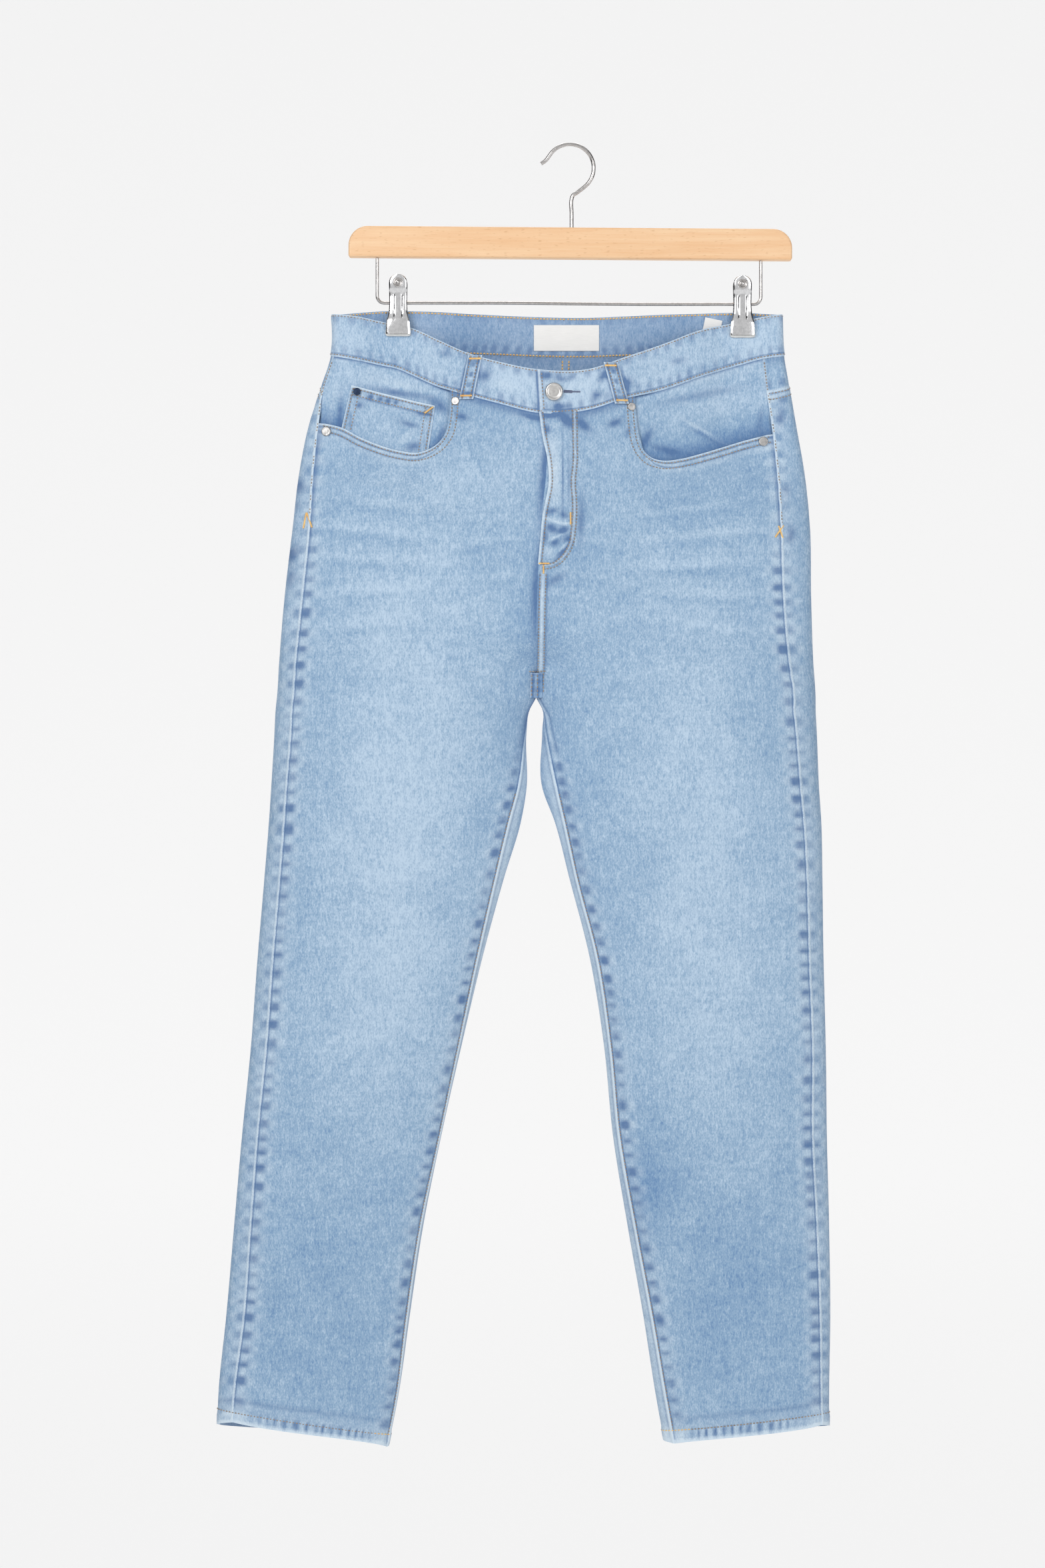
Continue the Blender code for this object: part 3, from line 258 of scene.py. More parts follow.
HALVES = {
    "right": (
        # height, outer, inner, side_wrap, inseam_wrap
        (-140, -212, -31, 3, 0),
        (-187, -213, -31, 3, 0),
        (-215, -222, -31, 3, 0),
        (-250, -233, -31, 9, 0),
        (-290, -241, -31, 13, 0),
        (-340, -247, -31, 16, 0),
        (-400, -254, -31, 17, 0),
        (-460, -259, -31, 16, 0),
        (-491, -261, -32, 16, 0),
        (-500, -262, -37, 16, 0),
        (-520, -263, -40, 16, 1),
        (-570, -266, -40, 15, 8),
        (-600, -268, -45, 15, 11),
        (-650, -272, -60, 15, 8),
        (-720, -278, -79, 15, 5),
        (-800, -284, -98, 15, 3),
        (-880, -292, -116, 15, 2),
        (-960, -299, -132, 16, 3),
        (-1040, -306, -144, 17, 3),
        (-1110, -313, -154, 15, 2),
        (-1165, -314, -165, 14, 2),
    ),
    "left": (
        (-140, 187, -31, 19, 0),
        (-187, 189, -31, 19, 0),
        (-215, 194, -31, 21, 0),
        (-250, 200, -31, 22, 0),
        (-290, 207, -31, 25, 0),
        (-340, 212, -31, 27, 0),
        (-400, 213, -31, 26, 0),
        (-460, 215, -31, 23, 0),
        (-491, 217, -30, 21, 0),
        (-500, 217, -25, 21, 0),
        (-520, 218, -25, 20, 3),
        (-570, 220, -25, 18, 13),
        (-600, 222, -14, 17, 9),
        (-650, 223, -1, 15, 7),
        (-720, 224, 17, 14, 7),
        (-800, 226, 30, 13, 6),
        (-880, 227, 38, 14, 6),
        (-960, 229, 51, 12, 7),
        (-1040, 230, 65, 10, 8),
        (-1110, 229, 76, 8, 9),
        (-1165, 229, 86, 7, 9),
    ),
}
HALF_COLUMNS = ("height", "outer", "inner", "side_wrap", "inseam_wrap")

MIDDLE = (
    # height, front, back
    (-140, -28, -4),
    (-215, -23, -6),
    (-250, -21, -8),
    (-290, -22, -11),
    (-340, -27, -15),
    (-400, -30, -20),
    (-460, -31, -27),
    (-491, -31, -31),
    (-520, -31, -31),
)
DEPTH = (
    # height, front, back
    (-140, 14, 12),
    (-190, 17, 14),
    (-250, 25, 23),
    (-330, 32, 34),
    (-420, 35, 42),
    (-490, 34, 39),
    (-560, 32, 34),
    (-650, 29, 30),
    (-760, 26, 26),
    (-880, 23, 23),
    (-1000, 20, 20),
    (-1100, 18, 18),
    (-1165, 17, 17),
)
FACE_COLUMNS = ("height", "front", "back")

WAIST = (
    # x, front_top, front_seam, back_top, back_seam, front_y, back_y
    (-213, -149.5, -187.0, -149.5, -187.0, -6.5, 6.5),
    (-188, -152.5, -191.5, -147.5, -186.5, -6.3, 6.3),
    (-168, -156.5, -195.5, -146.5, -186.0, -2.8, 2.8),
    (-154, -159.0, -198.5, -146.5, -185.5, -2.7, 2.7),
    (-140, -162.5, -204.5, -146.5, -185.0, -2.8, 2.8),
    (-120, -172.0, -214.0, -147.0, -185.0, -8.0, 3.2),
    (-95, -184.0, -222.0, -148.5, -185.5, -14.0, 4.0),
    (-65, -193.5, -230.5, -150.0, -186.5, -20.0, 4.4),
    (-29, -201.0, -239.5, -151.5, -188.0, -24.0, 4.6),
    (18, -200.0, -236.0, -152.0, -188.5, -23.0, 4.6),
    (45, -190.5, -227.0, -151.0, -187.5, -19.0, 4.4),
    (80, -178.0, -218.5, -149.5, -187.0, -13.0, 4.0),
    (118, -163.5, -205.0, -148.5, -186.5, -7.5, 3.2),
    (138, -159.0, -198.5, -148.0, -186.0, -2.8, 2.8),
    (152, -156.0, -194.5, -148.0, -186.0, -2.7, 2.7),
    (166, -153.0, -190.5, -148.5, -186.5, -2.8, 2.8),
    (189, -149.5, -187.0, -149.5, -187.0, -6.5, 6.5),
)
WAIST_COLUMNS = ("x", "front_top", "front_seam", "back_top", "back_seam", "front_y", "back_y")
WAIST_FOLD_REACH = 12.0
WAIST_HOLDS_TO_Z = -195.0
WAIST_LETS_GO_Z = -330.0

# Soft creases, larger ones first: those on the front are read from how the cloth hangs,
# and the back has similar ones
CREASES = (
    # face, x, z, half_length, half_width, lean_degrees, height
    ("front", -120, -300, 70, 22, -38, -2.5),
    ("front", 118, -312, 75, 24, 40, -2.5),
    ("front", -60, -345, 80, 24, 12, 2.0),
    ("front", -190, -560, 90, 30, 20, 3.0),
    ("front", 130, -540, 90, 30, -24, 3.0),
    ("front", 60, -895, 70, 22, -14, -3.5),
    ("front", 150, -930, 75, 24, 8, 3.0),
    ("front", -200, -905, 80, 24, 16, -3.0),
    ("front", -240, -1020, 70, 26, -60, 2.5),
    ("back", -125, -505, 62, 30, 22, -4.0),
    ("back", 85, -510, 62, 30, -22, -4.0),
    ("back", -170, -545, 80, 26, 18, 3.5),
    ("back", 130, -560, 80, 26, -20, 3.5),
    ("back", -190, -880, 75, 22, 10, -4.5),
    ("back", 130, -890, 75, 22, -10, -4.5),
    ("back", -200, -940, 75, 24, -6, 3.5),
    ("back", 140, -950, 75, 24, 8, 3.5),
    ("front", -175, -305, 42, 5.0, -9, 0.9),
    ("front", -150, -328, 60, 6.0, -5, 1.0),
    ("front", -140, -352, 66, 6.5, -3, -0.9),
    ("front", -150, -378, 62, 6.0, 2, 0.8),
    ("front", -140, -408, 58, 7.0, 6, -0.7),
    ("front", 62, -330, 40, 5.0, 8, 0.9),
    ("front", 88, -352, 62, 6.0, 5, 1.0),
    ("front", 80, -378, 66, 6.5, 2, -0.9),
    ("front", 84, -402, 62, 6.0, -2, 0.8),
    ("front", 70, -432, 56, 7.0, -6, -0.7),
    ("front", -70, -300, 16, 5.0, 60, -0.8),
    ("front", 22, -330, 20, 5.0, -62, -0.8),
    ("front", -52, -470, 26, 6.0, 48, -1.2),
    ("front", -8, -468, 26, 6.0, -46, -1.2),
    ("front", 30, -600, 34, 8.0, 62, 1.2),
    ("front", 80, -868, 34, 6.0, -10, -1.2),
    ("front", 168, -884, 30, 6.0, 14, 1.1),
    ("front", -250, -872, 34, 7.0, 22, -1.1),
    ("front", -160, -930, 36, 7.0, -8, 1.0),
    ("front", 184, -1002, 26, 6.0, 30, -1.0),
    ("back", -60, -500, 44, 7.0, 30, -1.8),
    ("back", 12, -505, 44, 7.0, -30, -1.8),
    ("back", -90, -530, 46, 8.0, 22, 1.6),
    ("back", 46, -535, 46, 8.0, -22, 1.6),
    ("back", -170, -862, 50, 7.0, 8, -1.8),
    ("back", -190, -905, 52, 7.0, -6, -1.8),
    ("back", 120, -872, 50, 7.0, -8, -1.8),
    ("back", 140, -915, 52, 7.0, 6, -1.8),
    ("back", -240, -1010, 40, 9.0, 30, 1.2),
    ("back", 170, -1020, 40, 9.0, -30, 1.2),
)


def column(table, names, name):
    """A smooth curve through one column of a table: cubic pieces with the table's own slopes."""
    rows = np.array(table, dtype=float)
    order = np.argsort(rows[:, 0])
    at = rows[order, 0]
    value = rows[order, names.index(name)]
    slope = np.gradient(value, at)

    def read(where):
        place = np.clip(np.asarray(where, dtype=float), at[0], at[-1])
        low = np.clip(np.searchsorted(at, place) - 1, 0, len(at) - 2)
        span = at[low + 1] - at[low]
        t = (place - at[low]) / span
        start = (1 + 2 * t) * (1 - t) ** 2 * value[low] + t * (1 - t) ** 2 * span * slope[low]
        end = t * t * (3 - 2 * t) * value[low + 1] - t * t * (1 - t) * span * slope[low + 1]
        return start + end

    return read


def smoothstep(low, high, value):
    """Rise softly from 0 at low to 1 at high: 3t^2 - 2t^3."""
    t = np.clip((value - low) / (high - low), 0.0, 1.0)
    return t * t * (3 - 2 * t)


HALF = {side: {name: column(rows, HALF_COLUMNS, name) for name in HALF_COLUMNS[1:]}
        for side, rows in HALVES.items()}
MID = {name: column(MIDDLE, FACE_COLUMNS, name) for name in FACE_COLUMNS[1:]}
DEEP = {name: column(DEPTH, FACE_COLUMNS, name) for name in FACE_COLUMNS[1:]}
BAND = {name: column(WAIST, WAIST_COLUMNS, name) for name in WAIST_COLUMNS[1:]}


def patches(table, face, x, z):
    """The sum of the soft oval patches of one face, each a bell along its line and across it."""
    total = np.zeros(np.broadcast(x, z).shape)
    for side, mid_x, mid_z, half_length, half_width, lean, amount in table:
        if side != face:
            continue
        turn = math.radians(lean)
        lengthwise = (x - mid_x) * math.cos(turn) + (z - mid_z) * math.sin(turn)
        across = (z - mid_z) * math.cos(turn) - (x - mid_x) * math.sin(turn)
        total = total + amount * np.exp(-(lengthwise / half_length) ** 2 - (across / half_width) ** 2)
    return total


def edges_at(half, middle, z):
    """Outer and inner X of one half: in to the middle above the crotch, to the leg's edge below it."""
    return HALF[half]["outer"](z), np.where(z > CROTCH_Z, middle, HALF[half]["inner"](z))


def share_across(turn, legs):
    """Share of the width at an angle: 1 - cos(turn / 2) in the hips, (1 - cos(turn)) / 2 in the legs."""
    return (1.0 - legs) * (1.0 - np.cos(turn / 2)) + legs * (1.0 - np.cos(turn)) / 2


def hips_y(face, x, z):
    """Depth of the hips: an ellipse low down, the pinched waistband line above."""
    right = HALF["right"]["outer"](z)
    left = HALF["left"]["outer"](z)
    t = np.clip((x - right) / (left - right), 0.0, 1.0)
    ellipse = 2.0 * np.sqrt(t * (1.0 - t))
    from_fold = np.minimum(x - right, left - x)
    near = np.clip(1.0 - from_fold / WAIST_FOLD_REACH, 0.0, 1.0)
    pinched = np.abs(BAND[face + "_y"](x)) * np.sqrt(1.0 - near * near)
    hold = smoothstep(WAIST_LETS_GO_Z, WAIST_HOLDS_TO_Z, z)
    return DEEP[face](z) * ellipse * (1.0 - hold) + pinched * hold


def cloth(half, angle, z):
    """The cloth at an angle round one half and a height, in millimetres.

    Angle 0 is the outer fold, +pi the front middle and -pi the back middle. X runs from the outer to
    the inner edge as 1 - cos, and Y is the hips' depth above the crotch and a sine lens below it.
    """
    angle, z = np.broadcast_arrays(np.asarray(angle, dtype=float), np.asarray(z, dtype=float))
    angle = np.where(angle < -PI - 1e-9, angle + 2 * PI, angle)
    front = angle >= 0.0
    turn = np.abs(angle)
    outer, inner = edges_at(half, np.where(front, MID["front"](z), MID["back"](z)), z)
    legs = smoothstep(LEGS_BEGIN_Z, CROTCH_Z, z)
    x = outer + (inner - outer) * share_across(turn, legs)
    hips = np.where(front, hips_y("front", x, z), hips_y("back", x, z))
    leg = np.where(front, DEEP["front"](z), DEEP["back"](z)) * np.sin(turn)
    out = (1.0 - legs) * hips + legs * leg
    relief = np.where(front, patches(CREASES, "front", x, z), patches(CREASES, "back", x, z))
    fade = np.clip(out / CREASE_CALM_DEPTH, 0.0, 1.0)
    out = out + relief * fade * fade * smoothstep(CREASES_BEGIN_Z, CREASES_FULL_Z, z)
    return np.stack([x, np.where(front, -out, out), z], axis=-1)


def cloth_normal(half, angle, z):
    """The outward direction: the cross product of the slopes round the half and down it."""
    hips = np.asarray(z) >= CROTCH_Z
    ahead = np.where(hips, np.clip(angle + 0.01, -PI, PI), angle + 0.01)
    behind = np.where(hips, np.clip(angle - 0.01, -PI, PI), angle - 0.01)
    round_it = cloth(half, ahead, z) - cloth(half, behind, z)
    down_it = cloth(half, angle, z + 1.0) - cloth(half, angle, z - 1.0)
    normal = np.cross(round_it, down_it) * (-1.0 if half == "left" else 1.0)
    return normal / np.linalg.norm(normal, axis=-1, keepdims=True)


def angle_at(half, face, x, z):
    """The angle whose point has a given X, found by halving the interval."""
    x, z = np.broadcast_arrays(np.asarray(x, dtype=float), np.asarray(z, dtype=float))
    low = np.zeros(x.shape)
    high = np.full(x.shape, PI)
    outer, inner = edges_at(half, MID[face](z), z)
    legs = smoothstep(LEGS_BEGIN_Z, CROTCH_Z, z)
    share = (x - outer) / (inner - outer)
    for _ in range(30):
        turn = (low + high) / 2
        short = share_across(turn, legs) < share
        low = np.where(short, turn, low)
        high = np.where(short, high, turn)
    return (low + high) / 2 * (1.0 if face == "front" else -1.0)


def side_seam(half, z):
    """Angle of the side seam, which lies on the front by the back panel's wrap."""
    inwards = 1.0 if half == "right" else -1.0
    return angle_at(half, "front", HALF[half]["outer"](z) + inwards * HALF[half]["side_wrap"](z), z)


def inner_seam(half, z):
    """Angle of the front panel's inner edge: the middle seam, then the inseam."""
    outwards = -1.0 if half == "right" else 1.0
    wrap = HALF[half]["inseam_wrap"](z)
    found = angle_at(half, "front", HALF[half]["inner"](z) + outwards * wrap, z)
    return np.where((z >= CROTCH_Z) | (wrap < LEAST_WRAP), PI, found)


def face_place(face, x, z):
    """Points of one face at X, Z places, and their outward directions."""
    x, z = np.broadcast_arrays(np.asarray(x, dtype=float), np.asarray(z, dtype=float))
    right = (x < np.where(z > CROTCH_Z, MID[face](z), CROTCH_X))[..., None]
    found = {}
    for half in ("right", "left"):
        angle = angle_at(half, face, x, z)
        found[half] = (cloth(half, angle, z), cloth_normal(half, angle, z))
    return (np.where(right, found["right"][0], found["left"][0]),
            np.where(right, found["right"][1], found["left"][1]))


def along(points, shares):
    """Places along a polyline at shares of its length."""
    line = np.array(points, dtype=float)
    steps = np.linalg.norm(np.diff(line, axis=0), axis=1)
    length = np.concatenate([[0.0], np.cumsum(steps)]) / steps.sum()
    return np.stack([np.interp(shares, length, line[:, i]) for i in range(line.shape[1])], axis=-1)


def smooth_line(points, count):
    """A polyline rounded through its points (Catmull-Rom) and read at even steps."""
    line = np.array(points, dtype=float)
    steps = np.concatenate([[0.0], np.cumsum(np.linalg.norm(np.diff(line, axis=0), axis=1))])
    fine = np.linspace(0.0, steps[-1], 40 * len(line))
    parts = [column(np.stack([steps, part], axis=1), ("way", "part"), "part")(fine) for part in line.T]
    return along(np.stack(parts, axis=-1), np.linspace(0.0, 1.0, count))


# Denim
# A light blue stretch twill: pale weft over blue warp, washed down on the thighs and seat, darker
# beside every seam, partly by dye kept in the puckers and partly by painted shade in the seam and
# stitch furrows, with thin faded whiskers over the hips. Its reverse side is paler.

DENIM_DEEP = (0.072, 0.160, 0.350)
DENIM_BLUE = (0.135, 0.265, 0.480)
DENIM_MID = (0.285, 0.428, 0.600)
DENIM_PALE = (0.505, 0.640, 0.785)
DENIM_WHITE = (0.675, 0.790, 0.885)
REVERSE_DEEP = (0.105, 0.200, 0.400)
REVERSE_BLUE = (0.180, 0.310, 0.510)
REVERSE_WHITE = (0.400, 0.525, 0.695)

# Where the wash is stronger (above 0) and where more of the dye is left (below 0)
WASH = (
    # face, x, z, half_length, half_width, lean_degrees, amount
    ("front", -150, -560, 190, 72, 86, 0.90),
    ("front", 108, -560, 190, 68, 94, 0.68),
    ("front", -172, -775, 120, 62, 84, 0.50),
    ("front", 127, -775, 120, 58, 96, 0.56),
    ("front", -150, -395, 80, 70, 0, 0.25),
    ("front", 88, -395, 80, 66, 0, 0.17),
    ("front", -57, -288, 46, 26, 60, 0.40),
    ("front", 35, -290, 46, 24, -60, 0.25),
    ("front", -34, -424, 46, 17, 90, -0.42),
    ("front", -135, -300, 70, 26, -6, 0.32),
    ("front", 120, -312, 60, 20, 8, -0.27),
    ("front", 62, -930, 58, 26, 78, -0.95),
    ("front", -55, -560, 90, 16, 84, -0.25),
    ("front", 0, -590, 90, 16, 96, -0.35),
    ("front", -218, -1010, 110, 60, 85, -0.23),
    ("front", 155, -1010, 110, 50, 92, -0.40),
    ("back", -125, -400, 90, 90, 0, 0.85),
    ("back", 75, -400, 90, 90, 0, 0.85),
    ("back", -170, -700, 200, 60, 84, 0.55),
    ("back", 120, -700, 200, 60, 96, 0.55),
    ("back", -20, -470, 60, 50, 0, -0.35),
    ("back", -200, -900, 70, 40, 0, -0.30),
    ("back", 140, -900, 70, 40, 0, -0.30),
    ("back", -10, -230, 200, 26, 0, -0.20),
)
# Faded whiskers over the hips: thin pale lines, each with a deeper line under it
WHISKERS = (
    # face, x, z, half_length, half_width, lean_degrees, amount
    ("front", -168, -318, 44, 3.6, -9, 0.40),
    ("front", -176, -342, 56, 4.2, -6, 0.48),
    ("front", -170, -368, 60, 4.6, -3, 0.48),
    ("front", -176, -395, 58, 4.6, 2, 0.44),
    ("front", -182, -424, 50, 5.0, 6, 0.34),
    ("front", 112, -322, 44, 3.6, 9, 0.40),
    ("front", 122, -346, 56, 4.2, 6, 0.48),
    ("front", 118, -372, 60, 4.6, 3, 0.48),
    ("front", 124, -399, 58, 4.6, -2, 0.44),
    ("front", 128, -428, 50, 5.0, -6, 0.34),
    ("front", -70, -352, 34, 3.6, 8, 0.30),
    ("front", -74, -384, 34, 3.8, 4, 0.28),
    ("front", 14, -352, 34, 3.6, -8, 0.30),
    ("front", 18, -384, 34, 3.8, -4, 0.28),
    ("front", -87, -276, 20, 2.6, -68, -0.40),
    ("front", -78, -292, 18, 2.4, -60, -0.30),
    ("back", -170, -862, 60, 5.0, 8, 0.30),
    ("back", -190, -905, 60, 5.0, -6, 0.30),
    ("back", 120, -872, 60, 5.0, -8, 0.30),
    ("back", 140, -915, 60, 5.0, 6, 0.30),
)
# Blots where several layers meet: dye left by the wash (above 0) or rubbed off (below 0). Some stand for
# light:
# painted shadows beside the front belt loops, and painted highlight and shade along the facings' waistband
# seam
BLOTS = (
    # place, x, z, half_length, half_width, lean_degrees, amount
    ("front", -97, -242, 6.0, 3.0, -20, 0.70),
    ("front", -33, -244, 8.0, 2.2, -18, 0.60),
    ("front", 39, -248, 7.0, 3.5, 20, 0.75),
    ("front", 50, -256, 5.0, 3.0, 70, 0.50),
    ("front", 10, -250, 8.0, 4.2, -40, 0.85),
    ("front", 8.5, -335, 20.0, 3.2, 88, 0.55),
    ("front", -14, -387, 9.0, 3.5, 30, 0.55),
    ("front", -241, -303, 7.0, 4.5, 70, 0.80),
    ("front", -243, -320, 4.0, 4.0, 0, 0.40),
    ("front", -246, -363, 8.0, 5.0, 60, 0.85),
    ("front", -248, -385, 8.0, 4.5, 80, 0.50),
    ("front", 186, -241, 8.0, 4.0, 80, 0.65),
    ("front", 190, -308, 6.0, 4.0, 80, 0.45),
    ("front", 194, -346, 7.0, 4.0, 80, 0.70),
    ("front", -6, -282, 4.0, 30.0, 0, 0.25),
    # Pale along the right facing's waistband seam: painted highlight; the dark band under it: painted shade
    ("facing", -150, -213, 30.0, 3.5, -14, -0.35),
    ("facing", -152, -219.5, 26.0, 3.6, -8, 0.60),
    ("facing", -118, -231, 10.0, 4.5, -35, 0.70),
    ("facing", -205, -238, 14.0, 2.8, 88, 0.65),
    ("facing", -212, -231, 16.0, 2.8, 80, -0.30),
    ("facing", -116, -258, 9.0, 3.0, 65, 0.60),
    # Pale along the left facing's waistband seam: painted highlight; the dark band under it: painted shade
    ("facing", 122, -206, 40.0, 3.5, 16, -0.25),
    ("facing", 116, -222, 34.0, 3.6, 12, 0.35),
    ("facing", 66, -262, 10.0, 4.0, 60, 0.70),
    ("facing", 84, -271, 14.0, 3.5, -14, 0.60),
    ("facing", 112, -251, 18.0, 1.8, -30, -0.70),
    ("facing", 116, -256, 14.0, 2.2, -30, 0.50),
    ("facing", 168, -244, 10.0, 3.0, 80, 0.40),
    ("coin", -178, -223.4, 2.6, 2.4, 0, 0.90),
    ("coin", -169.5, -225, 2.4, 2.4, 0, 0.80),
    ("coin", -162.5, -226.7, 2.6, 2.4, 0, 0.90),
    ("coin", -155.5, -228, 2.4, 2.2, 0, 0.70),
    ("coin", -188, -231, 3.6, 3.0, 0, 0.65),
    ("coin", -130, -239, 8.0, 2.2, -6, 0.55),
    ("coin", -143, -248, 9.0, 2.6, -20, 0.60),
    ("coin", -144, -258, 10.0, 3.2, 40, -0.40),
    ("coin", -140, -268, 7.0, 4.0, 10, 0.60),
    ("coin", -196, -246, 3.0, 9.0, 0, 0.30),
    ("fly", -15.5, -292, 33.0, 5.6, 90, -0.60),
    ("fly", -7.6, -296, 36.0, 0.9, 90, 0.65),
    ("fly", -2.6, -296, 30.0, 1.2, 90, 0.35),
    ("fly", -4.0, -247, 8.0, 5.0, -24, 0.95),
    ("fly", -18, -241, 9.0, 3.4, 4, 0.85),
    ("fly", -21, -254, 4.0, 4.4, 30, 0.70),
    ("fly", -12, -250, 7.0, 2.4, 20, -0.40),
    ("fly", -17, -327, 6.0, 3.4, 24, 0.80),
    ("fly", -7, -330, 4.6, 3.0, -20, 0.60),
    ("fly", -16, -335.5, 9.0, 1.3, -16, -0.70),
    ("fly", -17, -342, 5.4, 3.6, -30, 1.00),
    ("fly", -7, -344, 4.6, 3.6, 30, 0.95),
    ("fly", -23, -350, 2.6, 6.0, 0, 0.60),
    ("fly", -13, -349.5, 8.0, 1.1, 24, -0.75),
    ("fly", -4, -338, 6.0, 1.1, -8, -0.75),
    ("fly", -15, -355, 5.0, 3.4, 40, 0.80),
    ("fly", -3, -352, 4.4, 3.6, 0, 0.80),
    ("fly", -7, -358, 8.0, 1.2, 46, -0.65),
    ("fly", -9, -363, 7.0, 3.0, 40, 0.70),
    ("fly", -19, -362, 5.0, 5.0, 0, -0.45),
    ("band", -22, -207, 6.0, 3.0, 0, 0.75),
    ("band", -6, -210, 7.0, 3.0, 0, 0.50),
    ("band", -10, -234, 8.0, 3.0, 0, 0.70),
    ("band", 23, -223, 5.0, 4.0, 0, 0.65),
    ("band", 28, -207, 6.0, 3.0, 50, 0.80),
    ("band", -76, -206, 5.0, 7.0, -20, 0.65),
    ("band", 49, -213, 5.0, 5.0, 20, 0.75),
    # Painted shadows along both sides of the two front belt loops
    ("band", -95.6, -208, 17.0, 1.3, 77, 0.80),
    ("band", -81.6, -208, 17.0, 1.0, 77, 0.60),
    ("band", 32.4, -210, 17.0, 1.1, -74, 0.70),
    ("band", 46.8, -210, 17.0, 1.1, -74, 0.70),
    ("band", 95, -192, 6.0, 3.0, 10, 0.45),
    ("band", -112, -186, 6.0, 3.0, -10, 0.45),
    ("band", -60, -215, 14.0, 4.0, -14, -0.25),
    ("band", 5, -215, 12.0, 5.0, 4, -0.25),
)
SPOT_STEP = 14.5


def denim_finish(name):
    """Blue to white by the washed tone, the slubs and the weave, with painted shade in that tone on the
    pocket facings, the coin pocket, the fork lap and the belt loops' ends. Darker by dye in puckers and by
    painted shade in stitch furrows, under edges and in recesses; paler on rubbed edges and under a few
    painted highlights.
    """
    cloth_paint = Finish(name)
    place = cloth_paint.place()
    grain = cloth_paint.noise(cloth_paint.stretched((1.0, 1.0, 0.45)), 1150.0, 1.0)
    twill = cloth_paint.noise(cloth_paint.stretched((1.0, 1.0, 0.30), (0.0, 0.55, 0.0)), 620.0, 1.0)
    slub = cloth_paint.noise(cloth_paint.stretched((1.0, 1.0, 0.05)), 420.0, 2.0)
    weft = cloth_paint.noise(cloth_paint.stretched((0.06, 0.06, 1.0)), 380.0, 1.0)
    cloud = cloth_paint.noise(place, 26.0, 4.0, 0.6)
    mottle = cloth_paint.noise(place, 130.0, 3.0, 0.6)
    # This tone mark holds the washed tone, and painted shade on the pocket facings, the coin pocket, the
    # fork lap and the belt loops' ends
    wash_and_shade = cloth_paint.mark("wash_and_shade")
    tone = (wash_and_shade * 0.35 + (grain - 0.5) * 0.95 + (twill - 0.5) * 0.75 + (slub - 0.5) * 0.20
            + (weft - 0.5) * 0.16 + (cloud - 0.5) * 0.45 + (mottle - 0.5) * 0.45 + 0.52)
    low = cloth_paint.mix((tone * 2.0).held(), DENIM_BLUE, DENIM_MID)
    face = cloth_paint.mix((tone * 2.0 - 1.0).held(), low, DENIM_PALE)
    # This mark darkens towards deep blue: dye kept in seam puckers, and painted shade in stitch furrows,
    # under edges and in recesses
    dye_and_shade = (cloth_paint.mark("dye_and_shade") * (mottle * 1.9 + 0.50)).held()
    face = cloth_paint.mix(dye_and_shade * 0.88, face, DENIM_DEEP)
    # This mark pales towards white: rubbed edges, and a painted highlight along each facing's waistband seam
    wear_and_highlight = (cloth_paint.mark("wear_and_highlight") * (grain * 0.9 + mottle * 1.0)).held()
    face = cloth_paint.mix(wear_and_highlight * 0.88, face, DENIM_WHITE)
    back = cloth_paint.mix(((tone - 0.2) * 1.3).held(), REVERSE_BLUE, REVERSE_WHITE)
    back = cloth_paint.mix(dye_and_shade * 0.60, back, REVERSE_DEEP)
    colour = cloth_paint.mix(cloth_paint.mark("reverse"), face, back)
    height = grain * 0.6 + twill * 0.5 + slub * 0.5
    cloth_paint.set(Base_Color=colour, Roughness=0.88, Sheen_Weight=0.12,
                    Normal=cloth_paint.bump(height, 0.35, 0.0006))
    return cloth_paint.material


denim = denim_finish("denim")


def washed(points):
    """The washed tone at points in millimetres, from the face that each is on."""
    x, y, z = points[..., 0], points[..., 1], points[..., 2]
    front = patches(WASH, "front", x, z) + patches(WHISKERS, "front", x, z)
    front = front - patches(WHISKERS, "front", x, z + 7.0) * 0.8
    back = patches(WASH, "back", x, z) + patches(WHISKERS, "back", x, z)
    return np.where(y < 0.0, front, back)


def pucker_wave(distance, start=0.0):
    """A wave of uneven step along a seam, between -1 and 1."""
    uneven = distance + 3.0 * np.sin(distance / 27.0 + start) + 1.7 * np.sin(distance / 10.0 + 2.0 * start)
    return np.sin(2 * PI * uneven / SPOT_STEP + start)


def spots(distance, start=0.0):
    """Spots of dye along a seam: the crests of the wave, weaker in some stretches."""
    crest = np.clip(pucker_wave(distance, start) * 0.95 + 0.42, 0.0, 1.0)
    return crest * (0.74 + 0.26 * np.sin(distance / 33.0 + 1.7 * start) * np.sin(distance / 14.0 + start))


def bell(distance, middle, reach):
    """1 at the middle, falling as exp(-t^2) with the distance over the reach."""
    return np.exp(-((distance - middle) / reach) ** 2)


def blotted(place, x, z, marks):
    """Add one place's blots to its marks: dye and painted shade to the darkening, rubbed spots and painted
    highlight to the paling.
    """
    blots = patches(BLOTS, place, x, z)
    marks["dye_and_shade"] = marks["dye_and_shade"] + np.clip(blots, 0.0, None)
    marks["wear_and_highlight"] = marks["wear_and_highlight"] + np.clip(-blots, 0.0, None)
    return marks


def span(points, axis):
    """Length along a grid from its first edge to each point."""
    steps = np.linalg.norm(np.diff(points, axis=axis), axis=-1)
    start = np.zeros_like(np.take(steps, [0], axis=axis))
    return np.concatenate([start, np.cumsum(steps, axis=axis)], axis=axis)


